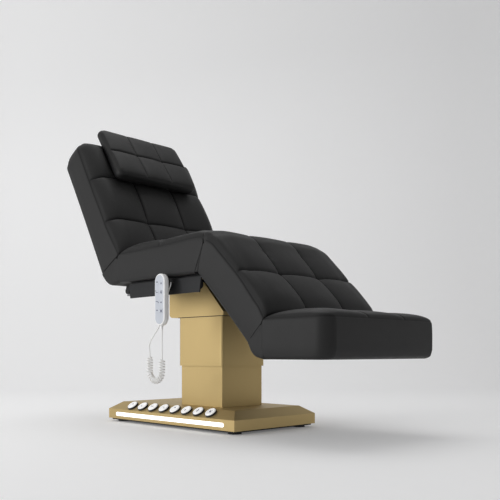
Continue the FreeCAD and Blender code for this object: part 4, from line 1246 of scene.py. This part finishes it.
class BED_OT_switches(bpy.types.Operator):
    """Make the white foot switch caps with their printed signs"""

    bl_idname = "bed.switches"
    bl_label = "Foot switches"

    def execute(self, context):
        shapes = ("up", "down", "seat", "leg", "up", "down", "both", "light")
        out = -press_axis
        right = Vector((1, 0, 0))
        up = out.cross(right)
        for i, shape in enumerate(shapes):
            body = "foot_button_%d" % (i + 1)
            spots = [v.co.copy() for v in frame["nodes"][body].data.vertices]
            far = max(spot.dot(out) for spot in spots)
            top = [spot for spot in spots if spot.dot(out) > far - top_room]
            centre = sum(top, Vector()) / len(top)

            def cap(grid):
                turned(grid, centre, right, up, out, cap_profile, cap_steps)

            mesh = mesh_of("switch_cap", cap)
            # The cap's finish glows faintly: painted light.
            piece = add_piece("switch_cap_%d" % (i + 1), mesh, finishes["lit_cap"])
            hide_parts(body)
            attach(piece, body)

            def sign(grid):
                flat_sign(grid, shape, centre - out * cap_sign_depth, right, up, out, cap_sign_size)

            mesh = mesh_of("switch_sign", sign)
            sign_piece = add_piece("switch_sign_%d" % (i + 1), mesh, finishes["cap_sign"], False)
            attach(sign_piece, body)
        return {"FINISHED"}


# Handset: levels are distance behind the front and how far in; keys are radius and height.
shell_levels = [(0, 0.0050), (0.0006, 0.0030), (0.0018, 0.0014), (0.0036, 0.0005), (0.006, 0.0001)]
shell_levels += [(0.0118, 0), (0.0120, 0.0007), (0.0127, 0.0007), (0.0129, 0), (0.0185, 0.0001)]
shell_levels += [(0.0208, 0.0010), (0.0226, 0.0030), (0.0236, 0.0060), (0.0240, 0.0100)]
film_levels = [(0.0004, 0.0056), (-0.0002, 0.0056), (-0.0004, 0.0060)]
key_profile = [(0.0092, 0.0), (0.0091, 0.0005), (0.0085, 0.0009), (0.0068, 0.0011), (0.0034, 0.0011)]
key_pitch = 0.036
key_drop = 0.004
key_proud = 0.0004
key_steps = 32
round_steps = 32
key_aside = 0.0125
key_sign_size = 0.0098
key_sign_rise = 0.00105
key_signs = (("up", "down"), ("seat", "both"), ("leg", "down"), ("up", "light"))
handset_axes = (Vector((1, 0, 0)), Vector((0, 0, 1)), Vector((0, -1, 0)))


class BED_OT_handset(bpy.types.Operator):
    """Make the handset's shell, its film, raised keys and signs"""

    bl_idname = "bed.handset"
    bl_label = "Handset"

    def execute(self, context):
        low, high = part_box("handset_shell")
        self.low = low
        self.high = high
        self.x = (low.x + high.x) / 2
        self.half = (high.x - low.x) / 2
        self.put("handset_body", self.body, "white_plastic", "handset_white", "handset_shell")
        self.put("handset_film", self.film, "overlay", "handset_film", "handset_overlay")
        self.put("handset_keys", self.keys, "overlay", "handset_film", None)
        self.put("handset_signs", self.signs, "symbol", "handset_film", None)
        return {"FINISHED"}

    def put(self, name, build, finish, slot, node):
        piece = add_piece(name, mesh_of(name, build), finishes[finish])
        piece.data.set_sharp_from_angle(angle=math.radians(38))
        if node:
            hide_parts(node)
        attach(piece, "seat")

    def outline(self, y, inset):
        """Stadium round the handset at depth y."""
        radius = self.half - inset
        points = []
        for start, middle in ((0, self.high.z - self.half), (math.pi, self.low.z + self.half)):
            for k in range(round_steps + 1):
                turn = start + math.pi * k / round_steps
                x = self.x + radius * math.cos(turn)
                points.append(Vector((x, y, middle + radius * math.sin(turn))))
        return points

    def body(self, grid):
        loft(grid, [self.outline(self.low.y + away, inset) for away, inset in shell_levels])

    def film(self, grid):
        loft(grid, [self.outline(self.low.y + away, inset) for away, inset in film_levels])

    def key_places(self):
        """Sign and place of each key."""
        top = self.high.z - self.half - key_drop
        for row, pair in enumerate(key_signs):
            for side, shape in zip((-1, 1), pair):
                x = self.x + side * key_aside
                yield shape, Vector((x, self.low.y - key_proud, top - key_pitch * row))

    def keys(self, grid):
        for _, place in self.key_places():
            turned(grid, place, *handset_axes, key_profile, key_steps)

    def signs(self, grid):
        for shape, place in self.key_places():
            spot = place + handset_axes[2] * key_sign_rise
            flat_sign(grid, shape, spot, *handset_axes, key_sign_size)


# Handset cord: straight lead, hanging loop of curls and a tail to the gland.
cord_y = -0.335
lead_x = 0.028
lead_top = 0.405
loop_route = [
    (0.028, 0.280), (0.028, 0.258), (0.028, 0.236), (0.028, 0.2163), (0.0057, 0.1940),
    (-0.0257, 0.1940), (-0.048, 0.2163), (-0.048, 0.236), (-0.048, 0.262), (-0.048, 0.290),
]
tail_route = [
    (-0.048, -0.335, 0.300), (-0.050, -0.335, 0.315), (-0.054, -0.334, 0.331), (-0.046, -0.331, 0.350),
    (-0.032, -0.326, 0.371), (-0.015, -0.318, 0.398), (-0.001, -0.3115, 0.433), (0.011, -0.3085, 0.472),
    (0.021, -0.307, 0.512), (0.035, -0.307, 0.543), (0.046, -0.307, 0.559), (0.047, -0.307, 0.572),
]

# Strain relief: radius and height of its ends, and its ribs.
relief_top = (0.0058, lead_top + 0.002)
relief_end = (0.0027, lead_top - 0.019)
rib_count = 5
rib_start = 0.001
rib_pitch = 0.0034
rib_radius = 0.0056
rib_taper = 0.00045
rib_height = 0.0020
rib_groove = 0.0008
groove_high = 0.0022
groove_low = 0.0032


def nurbs_curve(name, points):
    curve = bpy.data.curves.new(name, "CURVE")
    curve.dimensions = "3D"
    spline = curve.splines.new("NURBS")
    spline.points.add(len(points) - 1)
    for control, point in zip(spline.points, points):
        control.co = (*point, 1)
    spline.use_endpoint_u = True
    spline.order_u = 3
    curve.resolution_u = 8
    return curve


def points_along(curve):
    """Points of a curve's own line."""
    holder = bpy.data.objects.new("cord_line", curve)
    bpy.context.scene.collection.objects.link(holder)
    graph = bpy.context.evaluated_depsgraph_get()
    mesh = bpy.data.meshes.new_from_object(holder.evaluated_get(graph), depsgraph=graph)
    line = [v.co.copy() for v in mesh.vertices]
    bpy.data.objects.remove(holder)
    bpy.data.meshes.remove(mesh)
    return line


class BED_OT_cord(bpy.types.Operator):
    """Hang the curly handset cord from the handset to its gland"""

    bl_idname = "bed.cord"
    bl_label = "Handset cord"

    def execute(self, context):
        sizes = context.scene.bed_sizes
        route = nurbs_curve("cord_loop", [(x, cord_y, z) for x, z in loop_route])
        route.resolution_u = 24
        line = points_along(route)
        lengths = [0]
        for first, second in zip(line, line[1:]):
            lengths.append(lengths[-1] + (second - first).length)
        total = lengths[-1]
        per_turn = 16
        radius = (sizes.curl_diameter - sizes.cord_diameter) / 2 / math.cos(math.pi / per_turn)
        count = sizes.curl_turns * per_turn
        sideways = Vector((0, 1, 0))
        curls = []
        at = 0
        for k in range(count + 1):
            share = k / count
            distance = share * total
            while at < len(lengths) - 2 and lengths[at + 1] < distance:
                at += 1
            local = (distance - lengths[at]) / max(1e-9, lengths[at + 1] - lengths[at])
            centre = line[at].lerp(line[at + 1], local)
            before = line[max(0, at - 1)]
            after = line[min(len(line) - 1, at + 2)]
            inward = (after - before).normalized().cross(sideways).normalized()
            swell = smooth_step(min(1, min(share, 1 - share) * sizes.curl_turns))
            angle = 2 * math.pi * sizes.curl_turns * share
            offset = inward * math.cos(angle) + sideways * math.sin(angle)
            curls.append(centre + offset * (radius * swell))
        lead = [(lead_x, cord_y, z) for z in (lead_top, 0.375, 0.340, 0.306, 0.290)]
        points = lead + [tuple(p) for p in curls] + tail_route
        curve = nurbs_curve("handset_cord_line", points)
        curve.bevel_depth = sizes.cord_diameter / 2
        curve.bevel_resolution = 4
        curve.use_fill_caps = True
        curve.resolution_u = 4
        cord = bpy.data.objects.new("handset_cord_line", curve)
        context.scene.collection.objects.link(cord)
        curve.materials.append(finishes["sheath"])
        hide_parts("cord_lead", "cord_curl", "cord_tail")
        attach(cord, "seat")
        self.relief()
        return {"FINISHED"}

    def relief(self):
        """Ribbed strain relief under the handset."""

        def build(grid):
            axes = (Vector((1, 0, 0)), Vector((0, 1, 0)), Vector((0, 0, 1)))
            turned(grid, Vector((lead_x, cord_y, 0)), *axes, self.profile(), 24)

        relief = add_piece("cord_relief", mesh_of("cord_relief", build), finishes["white_plastic"])
        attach(relief, "seat")

    def profile(self):
        """Radius and height of the relief's ribs, from the top down."""
        points = [relief_top]
        for k in range(rib_count):
            z = lead_top - rib_start - rib_pitch * k
            radius = rib_radius - rib_taper * k
            inner = radius - rib_groove
            points += [(radius, z), (radius, z - rib_height)]
            points += [(inner, z - groove_high), (inner, z - groove_low)]
        points.append(relief_end)
        return points


# Studio: a floor that bends up into a wall, the wall's glow for the camera, and the camera.
floor_front = -6.0
floor_columns = (-10, -5, 0, 5, 10)
wall_from = 2.6
wall_radius = 2.4
wall_top = 8.0
wall_steps = 32
glow_upward = (0.18, 0.235)
glow_sideways = (1.0, 0.27)
glow_reach = 3.5
room_tone = 0.5
light_aim = Vector((0, 0, 0.55))
camera_place = (2.137, -1.969, 0.3024)


class BED_OT_stage(bpy.types.Operator):
    """Make the pale floor, the soft lights and the camera"""

    bl_idname = "bed.stage"
    bl_label = "Studio"

    def execute(self, context):
        colours = context.scene.bed_colours
        self.sweep(colours)
        self.lights()
        self.camera(context)
        return {"FINISHED"}

    def sweep(self, colours):
        """Floor that curves up into a wall behind the bed."""
        view = Vector((-1, 1, 0)).normalized()
        side = Vector((1, 1, 0)).normalized()
        profile = [(floor_front, 0.0), (wall_from, 0.0)]
        for k in range(1, wall_steps + 1):
            turn = math.pi / 2 * k / wall_steps
            away = wall_from + wall_radius * math.sin(turn)
            profile.append((away, wall_radius * (1 - math.cos(turn))))
        profile.append((wall_from + wall_radius, wall_top))

        def build(grid):
            rows = []
            for away, z in profile:
                middle = view * away + Vector((0, 0, z))
                rows.append([grid.verts.new(middle + side * reach) for reach in floor_columns])
            sheet_faces(grid, rows)

        mesh = mesh_of("studio_floor", build)
        add_piece("studio_floor", mesh, self.floor_finish(colours))

    def floor_finish(self, colours):
        """Pale matt floor; the wall part glows a little for the camera, so that it stays even."""
        group = bpy.data.node_groups["FineTexture"]
        matt = (colours.floor, group, (0.99, 1.01), (0.7, 0.8), (0.02, 0.0005))
        floor = shaded_material("StudioFloor", *matt, specular=0.1)
        tree = floor.node_tree
        shader = tree.nodes["Principled BSDF"]
        place = tree.nodes.new("ShaderNodeNewGeometry")
        split = tree.nodes.new("ShaderNodeSeparateXYZ")
        tree.links.new(place.outputs["Position"], split.inputs[0])
        rise = range_node(tree, split.outputs["Z"], *glow_upward, 0.0, wall_radius, smooth=True)
        side = math_node(tree, "ADD", split.outputs["X"], split.outputs["Y"])
        fade = range_node(tree, side, *glow_sideways, -glow_reach, glow_reach)
        level = math_node(tree, "MULTIPLY", rise, fade)
        seen = tree.nodes.new("ShaderNodeLightPath")
        camera, glossy = seen.outputs["Is Camera Ray"], seen.outputs["Is Glossy Ray"]
        rays = math_node(tree, "MAXIMUM", camera, glossy)
        tree.links.new(math_node(tree, "MULTIPLY", level, rays), shader.inputs["Emission Strength"])
        shader.inputs["Emission Color"].default_value = (1, 1, 1, 1)
        return floor

    def lights(self):
        world = bpy.data.worlds.new("Studio")
        world.use_nodes = True
        self.soft_box(world.node_tree)
        bpy.context.scene.world = world
        for name, place, size, power in (
            ("Key", (-1.7, -4.0, 1.15), 2.4, 60),
            ("Top", (-0.8, 0.2, 4.4), 3.4, 46),
            ("Side", (3.4, 3.6, 0.9), 2.0, 4),
        ):
            lamp = bpy.data.lights.new(name, "AREA")
            lamp.shape = "DISK"
            lamp.size = size
            lamp.energy = power
            light = bpy.data.objects.new(name, lamp)
            light.location = place
            light.visible_camera = False
            light.rotation_euler = (light_aim - Vector(place)).to_track_quat("-Z", "Y").to_euler()
            bpy.context.scene.collection.objects.link(light)

    def soft_box(self, tree):
        """World light like walls of soft boxes, near left and far right, in a pale room."""
        shader = tree.nodes["Background"]
        shader.inputs["Color"].default_value = (1, 1, 1, 1)
        place = tree.nodes.new("ShaderNodeTexCoord").outputs["Generated"]
        near = self.wall_light(tree, place, (-0.25, -0.96, -0.06), -0.4, 0.37, 0.68)
        right = self.wall_light(tree, place, (0.74, 0.67, -0.05), 0.6, 0.0, 0.10)
        both = math_node(tree, "ADD", near, right)
        seen = tree.nodes.new("ShaderNodeLightPath")
        pale = math_node(tree, "MULTIPLY", seen.outputs["Is Camera Ray"], room_tone)
        tree.links.new(math_node(tree, "MAXIMUM", both, pale), shader.inputs["Strength"])

    def wall_light(self, tree, place, towards, begin, low, high):
        """Light that grows from low to high as the view turns towards one side."""
        facing = tree.nodes.new("ShaderNodeVectorMath")
        facing.operation = "DOT_PRODUCT"
        facing.inputs[1].default_value = Vector(towards).normalized()
        tree.links.new(place, facing.inputs[0])
        return range_node(tree, facing.outputs["Value"], low, high, begin, smooth=True)

    def camera(self, context):
        data = bpy.data.cameras.new("Camera")
        data.lens = 50
        data.sensor_width = 36
        data.shift_y = 0.2052
        camera = bpy.data.objects.new("Camera", data)
        camera.location = camera_place
        camera.rotation_euler = Vector((-1, 1, 0)).to_track_quat("-Z", "Y").to_euler()
        context.scene.collection.objects.link(camera)
        context.scene.camera = camera
        context.scene.view_settings.view_transform = "Standard"


class BED_PT_panel(bpy.types.Panel):
    """Steps that dress the bed"""

    bl_idname = "BED_PT_panel"
    bl_label = "Treatment bed"
    bl_space_type = "VIEW_3D"
    bl_region_type = "UI"
    bl_category = "Bed"

    def draw(self, context):
        for step in steps:
            self.layout.operator(step.bl_idname)
        for group in (context.scene.bed_sizes, context.scene.bed_colours):
            for name in group.__annotations__:
                self.layout.prop(group, name)


steps = (
    BED_OT_finishes,
    BED_OT_stage,
    BED_OT_cushions,
    BED_OT_pillow,
    BED_OT_folds,
    BED_OT_metal,
    BED_OT_switches,
    BED_OT_handset,
    BED_OT_cord,
)
classes = (BedSizes, BedColours) + steps + (BED_PT_panel,)


def register():
    for item in classes:
        bpy.utils.register_class(item)
    bpy.types.Scene.bed_sizes = PointerProperty(type=BedSizes)
    bpy.types.Scene.bed_colours = PointerProperty(type=BedColours)


def unregister():
    del bpy.types.Scene.bed_colours
    del bpy.types.Scene.bed_sizes
    for item in reversed(classes):
        bpy.utils.unregister_class(item)


def main():
    register()
    bpy.ops.bed.finishes()
    bpy.ops.bed.stage()
    bpy.ops.bed.cushions()
    bpy.ops.bed.pillow()
    bpy.ops.bed.folds()
    bpy.ops.bed.metal()
    bpy.ops.bed.switches()
    bpy.ops.bed.handset()
    bpy.ops.bed.cord()


if __name__ == "__main__":
    main()
